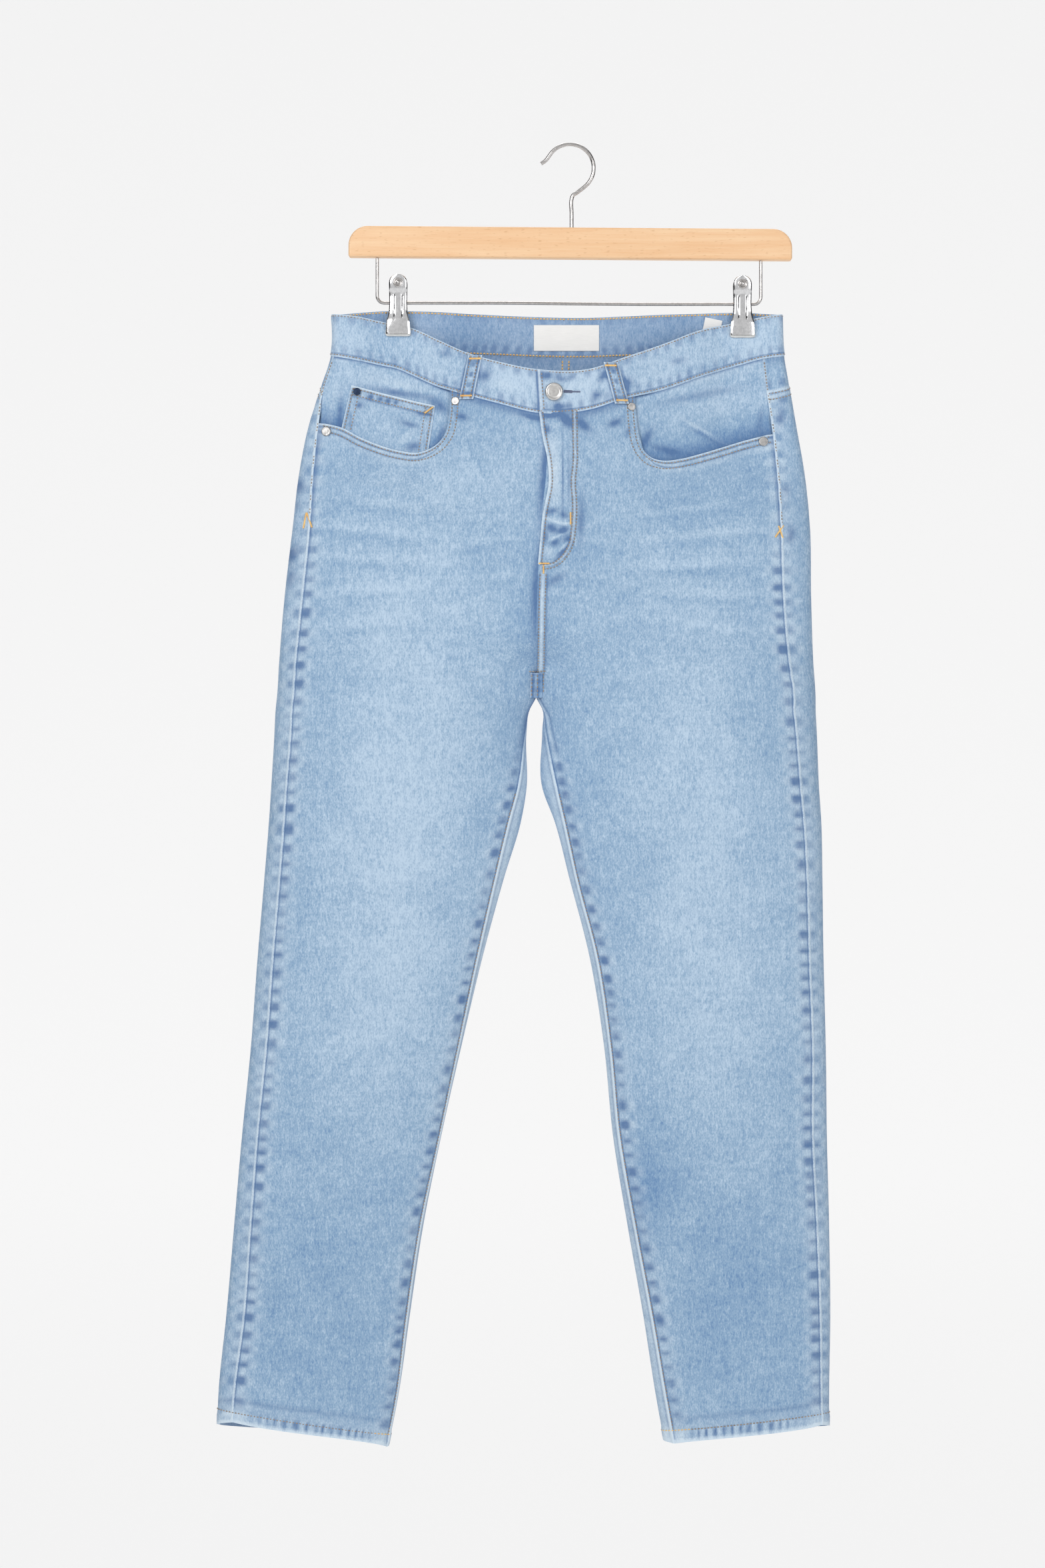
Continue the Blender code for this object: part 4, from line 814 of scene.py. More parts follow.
def closed_wall(name, outer, inner, marks, paint):
    """Join two grids of points into one closed wall with its rim, and paint the marks on it."""
    rows, columns = outer.shape[:2]
    number = np.arange(rows * columns).reshape(rows, columns)
    quads = np.stack([number[:-1, :-1], number[:-1, 1:], number[1:, 1:], number[1:, :-1]], axis=-1)
    quads = quads.reshape(-1, 4)
    below = rows * columns
    rim = np.concatenate([number[0, :], number[1:, -1], number[-1, -2::-1], number[-2:0:-1, 0]])
    after = np.roll(rim, -1)
    sides = np.stack([rim, rim + below, after + below, after], axis=-1)
    faces = np.concatenate([quads, quads[:, ::-1] + below, sides])
    points = np.concatenate([outer.reshape(-1, 3), inner.reshape(-1, 3)])
    corner = points[quads]
    facing = np.cross(corner[:, 2] - corner[:, 0], corner[:, 3] - corner[:, 1])
    if np.sum(facing * (points[quads[:, 0]] - points[quads[:, 0] + below])) < 0.0:
        faces = faces[:, ::-1]
    mesh = bpy.data.meshes.new(name)
    mesh.vertices.add(len(points))
    mesh.vertices.foreach_set("co", (points * MM).ravel())
    mesh.loops.add(faces.size)
    mesh.loops.foreach_set("vertex_index", faces.ravel())
    mesh.polygons.add(len(faces))
    mesh.polygons.foreach_set("loop_start", np.arange(0, faces.size, 4))
    mesh.update(calc_edges=True)
    mesh.shade_smooth()
    mesh.set_sharp_from_angle(angle=math.radians(50))
    for mark, value in marks.items():
        layer = mesh.attributes.new(mark, "FLOAT", "POINT")
        both = np.concatenate([np.broadcast_to(value, (rows, columns)).ravel()] * 2)
        layer.data.foreach_set("value", both)
    layer = mesh.attributes.new("reverse", "FLOAT", "POINT")
    layer.data.foreach_set("value", np.repeat([0.0, 1.0], below))
    mesh.materials.append(paint)
    return place_object(name, mesh)


def declare(piece, slot, *nodes):
    """Say what a piece rides on and which solids it stands for; the slot, which names the finish it takes,
    is not used.
    """
    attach(piece, "root")
    if nodes:
        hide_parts(*nodes)


def grid_edges(points):
    """Distances from a grid's points to its first and last columns, its top and foot, and the nearest."""
    first = span(points, 1)
    top = span(points, 0)
    edges = {"first": first, "last": first[:, -1:] - first, "top": top, "foot": top[-1:] - top}
    edges["sides"] = np.minimum(edges["first"], edges["last"])
    edges["ends"] = np.minimum(edges["top"], edges["foot"])
    edges["near"] = np.minimum(edges["sides"], edges["ends"])
    return edges


def marked(rows, edges, wash_and_shade, **gates):
    """Rise and marks of a grid: the sum of amount * gate * exp(-((distance - at) / reach)^2)."""
    marks = {name: np.zeros(edges["near"].shape) for name in ("rise", "dye_and_shade", "wear_and_highlight")}
    marks["wash_and_shade"] = wash_and_shade
    for mark, edge, at, reach, gate, amount in rows:
        marks[mark] = marks[mark] + amount * gates.get(gate, 1.0) * bell(edges[edge], at, reach)
    return marks.pop("rise"), marks


# Leg panels
# Two front and two back panels, cut in one length from waist to hem and sewn at the sides, the
# middle and the inseam. Each is one thin wall whose edges meet its neighbours'.

DENIM_THICK = 1.2
HEM_THICK = 2.8
HEM_HEIGHT = 11.0
PANEL_ROWS_HIP = 130
PANEL_ROWS_LEG = 158
ROW_CROWDING = 1.5
FRONT_COLUMNS = 108
BACK_COLUMNS = 106
COLUMN_CROWDING = 0.75
MOUTH_SHARE = 0.62
SCOOPS = {
    "right": ((-220, -247), (-204, -251), (-187, -260), (-167, -268), (-150, -272.5), (-137, -274),
              (-126, -271), (-117, -265), (-111, -256), (-108.5, -245), (-107, -218)),
    "left": ((176, -257), (153, -263), (134, -269), (115, -275), (96, -280), (80, -281.5),
             (70, -278.5), (63.5, -272), (59.5, -262), (57.5, -247), (56, -224)),
}
SEAM_EASE = 12.0
BAND_MIDDLE_Z = -239.0
HEMS = {"right": (-1132.5, -1155.0), "left": (-1135.5, -1151.5)}
YOKE = {"side": -219.0, "fold": -213.0, "middle": -262.0}


HIP_SHARES = np.linspace(0.0, 1.0, PANEL_ROWS_HIP + 1) ** ROW_CROWDING


def heights(top, crotch, hem):
    """Heights of a panel's rows along one edge: crowded at the top, then even below the crotch."""
    upper = top + (crotch - top) * HIP_SHARES
    return np.concatenate([upper, np.linspace(crotch, hem, PANEL_ROWS_LEG + 1)[1:]])


def column_shares(count):
    """Shares of a panel's columns, crowded at both seams: s - a sin(2 pi s) / (2 pi)."""
    share = np.linspace(0.0, 1.0, count)
    return share - COLUMN_CROWDING * np.sin(2 * PI * share) / (2 * PI)


def fade_down(reach):
    """1 on the top row, falling as a square to 0 at a share of the way to the crotch."""
    down = np.concatenate([HIP_SHARES, np.ones(PANEL_ROWS_LEG)])
    return np.clip(1.0 - down / reach, 0.0, 1.0)[:, None] ** 2


def waist_height(half, angle, edge):
    """Height of the waistband's top or seam at angles round a half, by its X there."""
    z = np.full(np.shape(angle), -190.0)
    for _ in range(3):
        x = cloth(half, angle, z)[..., 0]
        z = np.where(angle >= 0.0, BAND["front_" + edge](x), BAND["back_" + edge](x))
    return z


def yoke_height(half, angle):
    """Height of the yoke seam: level on the wrap, then down to the middle as 1 - cos."""
    share = np.clip(-angle / PI, 0.0, 1.0)
    wrap = np.clip(angle / np.maximum(side_seam(half, YOKE["side"]), LEAST_WRAP), 0.0, 1.0)
    down = YOKE["fold"] + (YOKE["middle"] - YOKE["fold"]) * (1.0 - np.cos(share * PI / 2))
    return np.where(angle > 0.0, YOKE["fold"] + (YOKE["side"] - YOKE["fold"]) * wrap, down)


def front_panel_grid(half):
    """Angles and heights between the side seam and the inner seam; the top row follows the mouth."""
    outer = heights(SCOOPS[half][0][1], CROTCH_Z - SEAM_EASE, HEMS[half][0])
    middle_x = float(MID["front"](BAND_MIDDLE_Z))
    inner = heights(float(BAND["front_seam"](middle_x)), CROTCH_Z, HEMS[half][1])
    share = column_shares(FRONT_COLUMNS)
    start = side_seam(half, outer)
    end = inner_seam(half, inner)
    angle = start[:, None] + (end - start)[:, None] * share
    z = outer[:, None] + (inner - outer)[:, None] * share
    mouth_count = int(FRONT_COLUMNS * MOUTH_SHARE)
    mouth = smooth_line(SCOOPS[half], mouth_count + 1)[:-1]
    mouth[0] = (cloth(half, start[0], outer[0])[0], outer[0])
    edge_x = np.linspace(SCOOPS[half][-1][0], middle_x, FRONT_COLUMNS - mouth_count)
    top_x = np.concatenate([mouth[:, 0], edge_x])
    top_z = np.concatenate([mouth[:, 1], BAND["front_seam"](edge_x)])
    top_angle = angle_at(half, "front", top_x, top_z)
    top_angle[-1] = PI
    fade = fade_down(1.0)
    return angle + fade * (top_angle - angle[0]), z + fade * (top_z - z[0])


def back_panel_grid(half):
    """Angles and heights from the side seam's wrap round to the back; the top row is the yoke seam."""
    outer = heights(YOKE["side"], CROTCH_Z - SEAM_EASE, HEMS[half][0])
    inner = heights(YOKE["middle"], CROTCH_Z, HEMS[half][1])
    share = column_shares(BACK_COLUMNS)
    start = side_seam(half, outer)
    end = np.where(inner >= CROTCH_Z, -PI, inner_seam(half, inner) - 2 * PI)
    angle = start[:, None] + (end - start)[:, None] * share
    z = outer[:, None] + (inner - outer)[:, None] * share
    return angle, z + fade_down(0.5) * (yoke_height(half, angle[0]) - z[0])


def cloth_piece(name, half, angle, z, thick, lift, rise, marks, paint):
    """A wall on the cloth: half its thickness on each side, moved out by the lift and the rise."""
    normal = cloth_normal(half, angle, z)
    middle = cloth(half, angle, z) + normal * (lift + rise)[..., None]
    off = normal * (thick / 2)[..., None]
    return closed_wall(name, middle + off, middle - off, marks, paint)


SEAM_TACK_Z = {"right": -334.0, "left": -343.0}
SEAM_START = {"right": 0.4, "left": 1.9}
HEM_ROPE_STEP = 7.7


def hem_rope(side, width):
    """Blots under the hem's stitches: crests of a wave along it, weak towards both ends."""
    uneven = side + 2.2 * np.sin(side / 17.0) + 1.2 * np.sin(side / 6.5 + 1.0)
    crest = np.clip(0.25 + 0.85 * np.sin(2 * PI * uneven / HEM_ROPE_STEP), 0.0, 1.0)
    return crest * smoothstep(4.0, 50.0, side) * smoothstep(4.0, 30.0, width - side)


INSEAM_LATER = 1.1
INSEAM_LOWER = 7.0
SPOTS_REACH_DOWN = 40.0
FLY_ENDS_Z = (-378.0, -384.0)
PANEL_MARKS = {
    # mark, edge, at, reach, gate, amount; the first column is the side seam, the last the inner seam
    "both": (
        ("wear_and_highlight", "first", 12.5, 3.5, "side_spots", 0.42),
        ("wear_and_highlight", "first", 5.0, 5.0, "side_gaps", 0.42),
        ("rise", "first", 0.0, 7.0, "side_wave", 0.45),
        ("dye_and_shade", "foot", 6.6, 3.4, "rope", 0.95),
        ("dye_and_shade", "foot", 19.5, 2.2, "all", 0.30),
        # a dark line at the hem's stitch row: painted shade in its furrow
        ("dye_and_shade", "foot", 11.2, 0.8, "all", 0.30),
        ("wear_and_highlight", "foot", 14.2, 2.0, "all", 0.42),
        ("wear_and_highlight", "foot", 0.0, 1.3, "all", 0.90),
        ("rise", "foot", 6.0, 3.5, "hem_wave", -0.30),
    ),
    "front": (
        ("dye_and_shade", "first", 4.4, 4.6, "side_spots", 1.02),
        # a dark line at the side seam's edge: painted shadow of the seam ridge
        ("dye_and_shade", "first", 0.2, 0.8, "above_hem", 0.75),
        ("rise", "first", 0.0, 1.2, "all", -0.25),
        ("dye_and_shade", "last", 6.0, 4.4, "inner_spots", 0.90),
        # a dark line at the inseam's edge: painted shadow of the seam ridge
        ("dye_and_shade", "last", 0.6, 0.8, "inseam", 0.70),
        ("wear_and_highlight", "last", 13.5, 3.2, "inner_spots", 0.40),
        ("wear_and_highlight", "last", 6.0, 5.0, "inner_gaps", 0.30),
        ("rise", "last", 3.0, 6.0, "inner_wave", 0.40),
        ("wear_and_highlight", "top", 0.0, 1.3, "mouth", 0.95),
        ("wear_and_highlight", "top", 4.6, 1.2, "mouth", 0.35),
        ("wear_and_highlight", "top", 10.5, 2.6, "mouth", 0.25),
        # dark lines beside the mouth's two stitch rows: painted shade in their furrows
        ("dye_and_shade", "top", 2.7, 0.8, "mouth", 0.55),
        ("dye_and_shade", "top", 7.5, 0.8, "mouth", 0.55),
        # darker under the waistband seam beside the mouth: painted shade
        ("dye_and_shade", "top", 2.0, 5.0, "beside_mouth", 0.45),
        ("dye_and_shade", "top", 0.0, 1.2, "beside_mouth", 0.45),
    ),
    "front_right": (
        # a dark band beside the fly's proud edge and down the middle seam: painted shadow
        ("dye_and_shade", "last", 0.0, 5.0, "seat_shade", 1.0),
    ),
    "front_left": (
        ("wear_and_highlight", "last", 4.4, 1.5, "below_fly", 0.70),
        # dark lines beside the middle seam's two stitch rows: painted shade in their furrows
        ("dye_and_shade", "last", 1.0, 0.8, "below_fly", 0.50),
        ("dye_and_shade", "last", 8.2, 0.9, "below_fly", 0.50),
    ),
    "back": (
        ("dye_and_shade", "first", 4.4, 4.6, "side_spots", 0.45),
        ("wear_and_highlight", "first", 1.2, 1.0, "ridge", 1.10),
        ("rise", "first", 1.2, 1.0, "ridge", 0.55),
        ("wear_and_highlight", "last", 1.3, 1.3, "inseam", 1.30),
        ("rise", "last", 1.3, 1.3, "inseam", 0.75),
        ("wear_and_highlight", "last", 7.0, 5.0, "inseam", 0.55),
        # a dark line beside the inseam's pale ridge: painted shadow
        ("dye_and_shade", "last", 3.6, 0.8, "inseam", 0.50),
        ("dye_and_shade", "last", 4.0, 4.0, "seat_spots", 0.45),
        ("wear_and_highlight", "last", 0.0, 1.2, "seat", 0.50),
        ("wear_and_highlight", "top", 0.0, 1.3, "all", 0.80),
        ("wear_and_highlight", "top", 4.5, 1.3, "all", 0.30),
        ("dye_and_shade", "top", 9.5, 3.0, "yoke_spots", 0.45),
        # a dark line beside the yoke seam's stitch row: painted shade in its furrow
        ("dye_and_shade", "top", 2.4, 0.8, "all", 0.40),
    ),
}
HEM_RUB = 0.35


def panel_marks(face, half, points):
    """Rise and marks of a leg panel, by the distance to each of its edges."""
    edges = grid_edges(points)
    x, y, z = points[..., 0], points[..., 1], points[..., 2]
    start = SEAM_START[half]
    inner_z, inner_start = z + INSEAM_LOWER, start + INSEAM_LATER
    below_tack = smoothstep(SEAM_TACK_Z[half], SEAM_TACK_Z[half] - SPOTS_REACH_DOWN, z)
    above_tack = 0.0 if face == "front" else 0.45
    above_hem = smoothstep(HEM_HEIGHT, HEM_HEIGHT + 6.0, edges["foot"])
    under_stitch = 1.0 - smoothstep(HEM_HEIGHT - 1.5, HEM_HEIGHT, edges["foot"])
    inseam = smoothstep(CROTCH_Z - 15.0, CROTCH_Z - 80.0, z)
    rope = hem_rope(edges["first"], edges["first"][:, -1:])
    mouth = np.arange(points.shape[1]) < FRONT_COLUMNS * MOUTH_SHARE - 2
    side_spots = spots(z, start) * (above_tack + (1.0 - above_tack) * below_tack) * above_hem
    inner_spots = spots(inner_z, inner_start)
    rows = PANEL_MARKS["both"] + PANEL_MARKS[face] + PANEL_MARKS.get(face + "_" + half, ())
    rise, marks = marked(
        rows, edges, washed(points), above_hem=above_hem, side_spots=side_spots,
        side_gaps=1.0 - spots(z, start), side_wave=pucker_wave(z, start), ridge=1.0 - 0.30 * below_tack,
        inseam=inseam, inner_spots=inner_spots * inseam * above_hem,
        inner_gaps=inseam * (1.0 - inner_spots),
        inner_wave=pucker_wave(inner_z, inner_start) * inseam, rope=rope * under_stitch, hem_wave=rope,
        mouth=mouth, beside_mouth=~mouth, yoke_spots=spots(edges["first"], 0.7), seat=1.0 - inseam,
        seat_spots=(1.0 - inseam) * spots(z, start), below_fly=smoothstep(*FLY_ENDS_Z, z) * (1.0 - inseam),
        seat_shade=(1.0 - inseam) * (0.55 + 0.35 * np.sin(z / 17.0)))
    marks["wear_and_highlight"] = marks["wear_and_highlight"] + HEM_RUB * (1.0 - rope) * under_stitch
    if face == "front":
        return rise, blotted("front", x, z, marks)
    blots = np.clip(patches(BLOTS, "front", x, z), 0.0, None)
    marks["dye_and_shade"] = marks["dye_and_shade"] + np.where(y < 0.0, blots, 0.0)
    return rise, marks


def hem_thickness(points):
    """The wall grows from one layer to the hem's three over a millimetre or two."""
    down = span(points, 0)
    in_hem = 1.0 - smoothstep(HEM_HEIGHT - 0.5, HEM_HEIGHT + 2.0, down[-1:] - down)
    return DENIM_THICK + (HEM_THICK - DENIM_THICK) * in_hem


for half in ("right", "left"):
    for face, grid in (("front", front_panel_grid), ("back", back_panel_grid)):
        angle, z = grid(half)
        points = cloth(half, angle, z)
        rise, marks = panel_marks(face, half, points)
        panel = cloth_piece("panel_%s_%s" % (face, half), half, angle, z, hem_thickness(points),
                            0.0, rise, marks, denim)
        declare(panel, "denim", "%s_%s" % (face, half))


# Back yokes
# A shaped strip over each hip pocket at the back, folded over the side to the front a little and
# sewn under the waistband.

YOKE_ROWS = 40
YOKE_COLUMNS = 130
YOKE_MARKS = (
    # mark, edge, at, reach, gate, amount
    ("wear_and_highlight", "foot", 0.0, 1.2, "all", 0.70),
    ("wear_and_highlight", "first", 0.9, 0.9, "all", 0.80),
    ("dye_and_shade", "foot", 6.0, 4.0, "spots", 0.50),
    # darker under the waistband: painted shade
    ("dye_and_shade", "top", 0.0, 6.0, "all", 0.30),
    ("rise", "foot", 0.0, 7.0, "wave", 0.35),
)

for half in ("right", "left"):
    angle = np.linspace(float(side_seam(half, YOKE["side"])), -PI, YOKE_COLUMNS)
    top = waist_height(half, angle, "seam")
    low = yoke_height(half, angle)
    down = np.linspace(0.0, 1.0, YOKE_ROWS)[:, None]
    z = top + (low - top) * down
    shift = side_seam(half, z[:, 0]) - angle[0]
    angle = angle + shift[:, None] * (1.0 - np.linspace(0.0, 1.0, YOKE_COLUMNS))
    points = cloth(half, angle, z)
    edges = grid_edges(points)
    rise, marks = marked(YOKE_MARKS, edges, washed(points), spots=spots(edges["first"]),
                         wave=pucker_wave(edges["first"]))
    yoke = cloth_piece("back_yoke_" + half, half, angle, z, np.full(z.shape, DENIM_THICK),
                       0.0, rise, marks, denim)
    declare(yoke, "denim", "yoke_" + half)


# Waistband
# A folded strip, two layers and their seam allowances thick, from the button end round the fold
# to the back seam. It is stitched along both edges.

WAISTBAND_THICK = 2.6
BAND_ROWS = 26
BAND_COLUMNS = 380
BAND_END_PROUD = 0.7
BAND_LAP = {"right": (5.0, 6.0), "left": (0.0, 12.0)}
BAND_WASH = {"front": 0.80, "back": 0.10, "cloud": 0.30}
BAND_MARKS = (
    # mark, edge, at, reach, gate, amount
    ("wear_and_highlight", "top", 0.0, 1.3, "all", 0.70),
    ("wear_and_highlight", "foot", 0.0, 0.8, "all", 0.30),
    ("dye_and_shade", "top", 4.5, 3.0, "top_spots", 0.42),
    ("dye_and_shade", "foot", 6.5, 4.0, "foot_spots", 1.0),
    # dark lines beside both stitch rows: painted shade in their furrows
    ("dye_and_shade", "foot", 2.8, 0.8, "all", 0.50),
    ("dye_and_shade", "top", 2.2, 0.7, "all", 0.40),
    ("wear_and_highlight", "first", 4.9, 0.8, "lap", 0.90),
    # a dark line beside the lapped end's proud edge: painted shadow; one at its stitch row: painted shade in
    # its furrow
    ("dye_and_shade", "first", 6.8, 1.2, "lap", 0.90),
    ("dye_and_shade", "first", 2.4, 0.7, "lap", 0.45),
    ("rise", "ends", 4.0, 4.0, "wave", 0.30),
)

for half in ("right", "left"):
    angle = np.linspace(PI, -PI, BAND_COLUMNS)
    top = waist_height(half, angle, "top")
    low = waist_height(half, angle, "seam")
    down = np.linspace(0.0, 1.0, BAND_ROWS)[:, None]
    z = top + (low - top) * down
    angle = np.broadcast_to(angle, z.shape)
    points = cloth(half, angle, z)
    edges = grid_edges(points)
    across = edges["first"]
    cloudy = np.sin(across / 19.0) * np.sin(across / 47.0 + 1.0)
    wash_and_shade = np.where(points[..., 1] < 0.0, BAND_WASH["front"], BAND_WASH["back"])
    wash_and_shade = wash_and_shade + BAND_WASH["cloud"] * cloudy
    rise, marks = marked(BAND_MARKS, edges, wash_and_shade, wave=pucker_wave(across * 1.6), lap=float(half == "right"),
                         top_spots=spots(across * 1.2),
                         foot_spots=(0.42 + 0.75 * (points[..., 1] > 0.0)) * spots(across * 1.4, 1.3))
    rise = rise + BAND_END_PROUD * (1.0 - smoothstep(*BAND_LAP[half], across))
    thick = WAISTBAND_THICK * (0.55 + 0.45 * np.sqrt(np.clip(edges["ends"] / 2.0, 0.0, 1.0)))
    on_front = points[..., 1] < 0.0
    blots = blotted("band", points[..., 0], z, dict(marks))
    marks = {mark: np.where(on_front, blots[mark], value) for mark, value in marks.items()}
    band = cloth_piece("waistband_strip_" + half, half, angle, z, thick, 0.0, rise, marks, denim)
    declare(band, "denim", "waistband_" + half)


# Pocket mouths and coin pocket
# A facing of the same denim lies behind each curved mouth, sewn in with the waistband and the side
# seam, so it sinks behind the panel only towards the mouth, and it is painted darker there and under
# the waistband seam as shade. A small coin pocket is sewn on the right one.

FACING_UNDERLAP = 9.0
FACING_TOP_Z = -188.0
FACING_SINK = 2.3
FACING_THICK = 0.8
FACING_ROWS = 56
FACING_COLUMNS = 84
COIN_POCKET = ((-195, -213), (-121, -231.5), (-206, -261), (-128, -281))
COIN_LIFT = 0.9
COIN_THICK = 0.8
COIN_PUFF = 0.35
COIN_MARKS = (
    # mark, edge, at, reach, gate, amount
    ("wear_and_highlight", "top", 0.0, 1.2, "all", 0.90),
    ("wear_and_highlight", "near", 0.0, 0.9, "all", 0.75),
    # dark lines beside the stitch rows: painted shade in their furrows
    ("dye_and_shade", "near", 2.2, 0.7, "all", 0.40),
    ("dye_and_shade", "top", 9.2, 1.0, "all", 0.45),
)
FACING_CREASES = (
    # face, x, z, half_length, half_width, lean_degrees, height
    ("front", 112, -252, 16, 3.0, -26, 0.9),
    ("front", 84, -262, 22, 6.0, 10, -0.5),
    ("front", -207, -236, 14, 3.5, 86, -0.6),
)


def facing_sink(half, x, z, near_mouth):
    """How far the facing lies in: nothing at the seams, all of it near the mouth."""
    below = BAND["front_seam"](x) - z
    seam_x = cloth(half, side_seam(half, z), z)[..., 0]
    from_seams = np.minimum(below, np.abs(x - seam_x))
    return FACING_SINK * np.maximum(smoothstep(0.0, 24.0, from_seams), near_mouth)


def flat_grid(corners, columns, rows):
    """Mix four corners of an X, Z patch: top first, top last, low first, low last."""
    u = np.linspace(0.0, 1.0, columns)[None, :, None]
    v = np.linspace(0.0, 1.0, rows)[:, None, None]
    a, b, c, d = (np.array(corner, dtype=float) for corner in corners)
    return (1 - v) * ((1 - u) * a + u * b) + v * ((1 - u) * c + u * d)


def laid_patch(name, face, grid, thick, lift, marks, paint):
    """A wall on one face of the cloth, from X, Z places, moved out by its lift."""
    points, normal = face_place(face, grid[..., 0], grid[..., 1])
    lift = np.broadcast_to(np.asarray(lift, dtype=float), grid.shape[:2])[..., None]
    thick = np.broadcast_to(np.asarray(thick, dtype=float), grid.shape[:2])[..., None]
    middle = points + normal * lift
    return closed_wall(name, middle + normal * thick / 2, middle - normal * thick / 2, marks, paint)


for half in ("right", "left"):
    inwards = 1.0 if half == "right" else -1.0
    u = np.linspace(0.0, 1.0, FACING_COLUMNS)
    v = np.linspace(0.0, 1.0, FACING_ROWS)[:, None]
    low = smooth_line(SCOOPS[half][:-2], FACING_COLUMNS)
    low[:, 1] -= FACING_UNDERLAP
    low[:, 0] += inwards * FACING_UNDERLAP * u ** 2
    start_x = float(cloth(half, side_seam(half, FACING_TOP_Z), FACING_TOP_Z)[0])
    top_x = start_x + (SCOOPS[half][-1][0] + inwards * FACING_UNDERLAP - start_x) * u
    x = top_x + (low[:, 0] - top_x) * v
    z = BAND["front_seam"](top_x) + (low[:, 1] - BAND["front_seam"](top_x)) * v
    angle = angle_at(half, "front", x, z)
    angle[:, 0] = side_seam(half, z[:, 0])
    near_mouth = np.maximum(smoothstep(0.45, 0.80, v), smoothstep(0.72, 0.88, u))
    sink = facing_sink(half, x, z, near_mouth)
    points = cloth(half, angle, z)
    crease = patches(FACING_CREASES, "front", x, z)
    # Painted shade: darker towards the mouth, where the facing sinks in, and towards its inner end; a
    # painted shadow under the waistband seam, and darker along the mouth
    shade = 0.50 - 1.5 * smoothstep(0.40, 0.90, v) - 0.4 * smoothstep(0.6, 1.0, u)
    seam_shadow = 0.75 * bell(span(points, 0), 0.0, 1.5)
    mouth_shade = 0.50 * smoothstep(0.66, 0.92, v)
    marks = blotted("facing", x, z, {"wash_and_shade": shade, "wear_and_highlight": 0.0 * x, "dye_and_shade": seam_shadow + mouth_shade})
    facing = cloth_piece("pocket_facing_" + half, half, angle, z, np.full(z.shape, FACING_THICK),
                         0.0, crease * 0.5 - sink, marks, denim)
    declare(facing, "denim", "facing_" + half)

coin_grid = flat_grid(COIN_POCKET, 60, 40)
coin_x, coin_z = coin_grid[..., 0], coin_grid[..., 1]
coin_edges = grid_edges(face_place("front", coin_x, coin_z)[0])
coin_down = np.linspace(0.0, 1.0, 40)[:, None]
coin_sink = facing_sink("right", coin_x, coin_z, smoothstep(0.45, 0.80, coin_down))
coin_puff = COIN_PUFF * smoothstep(0.0, 9.0, coin_edges["near"])
# Darker towards its foot, where it sinks with the facing towards the mouth: painted shade
coin_marks = marked(COIN_MARKS, coin_edges, 0.50 - 0.35 * coin_down)[1]
coin_marks = blotted("coin", coin_x, coin_z, coin_marks)
coin_lift = COIN_LIFT - np.minimum(coin_sink, FACING_SINK) + coin_puff
coin = laid_patch("coin_pocket_patch", "front", coin_grid, COIN_THICK, coin_lift, coin_marks, denim)
declare(coin, "denim", "coin_pocket")


# Back pockets
# Two five-sided patches, turned in all round and sewn to the back panels with two rows.

BACK_POCKET = {"from_middle": 48.0, "top_width": 132.0, "low_width": 112.0,
               "side_height": 120.0, "point": 18.0, "below_yoke": 26.0,
               "middle_z": -300.0, "yoke_z": -250.0}
BACK_POCKET_LIFT = 1.5
BACK_POCKET_MARKS = (
    # mark, edge, at, reach, gate, amount
    ("rise", "near", 5.0, 4.0, "wave", 0.20),
    ("dye_and_shade", "near", 5.0, 3.0, "troughs", 0.45),
)


def back_pocket_corners(half):
    """X and Z of the top and the low edge of a back pocket, outer end first."""
    outwards = -1.0 if half == "right" else 1.0
    inner_x = float(MID["back"](BACK_POCKET["middle_z"])) + outwards * BACK_POCKET["from_middle"]
    outer_x = inner_x + outwards * BACK_POCKET["top_width"]
    taper = outwards * (BACK_POCKET["top_width"] - BACK_POCKET["low_width"]) / 2
    ends = np.array([outer_x, inner_x])
    seam = yoke_height(half, angle_at(half, "back", ends, np.full(2, BACK_POCKET["yoke_z"])))
    top = np.stack([ends, seam - BACK_POCKET["below_yoke"]], axis=-1)
    low = np.stack([ends + (-taper, taper), top[:, 1] - BACK_POCKET["side_height"]], axis=-1)
    return top, low


for half in ("right", "left"):
    top, low = back_pocket_corners(half)
    columns, rows = 60, 62
    share = np.linspace(0.0, 1.0, columns)
    top_line = top[0] + (top[1] - top[0]) * share[:, None]
    low_line = low[0] + (low[1] - low[0]) * share[:, None]
    low_line[:, 1] -= BACK_POCKET["point"] * (1.0 - np.abs(2 * share - 1.0))
    grid = top_line + (low_line - top_line) * np.linspace(0.0, 1.0, rows)[:, None, None]
    points = face_place("back", grid[..., 0], grid[..., 1])[0]
    edges = grid_edges(points)
    wave = pucker_wave(edges["top"] + edges["first"])
    rise, marks = marked(BACK_POCKET_MARKS, edges, 0.45 + washed(points) * 0.4, wave=wave,
                         troughs=0.5 - 0.5 * wave)
    rise = rise + 0.5 * smoothstep(0.0, 12.0, edges["near"])
    marks["wear_and_highlight"] = 0.9 * np.exp(-edges["near"] / 1.4)
    pocket = laid_patch("seat_pocket_" + half, "back", grid, 1.0, BACK_POCKET_LIFT + rise, marks, denim)
    declare(pocket, "denim", "back_pocket_" + half)


# Fly
# The left front laps over the right one down to the middle seam. Its turned edge stands a little
# proud, and the zip's facing under it is held by a J of two stitch rows.

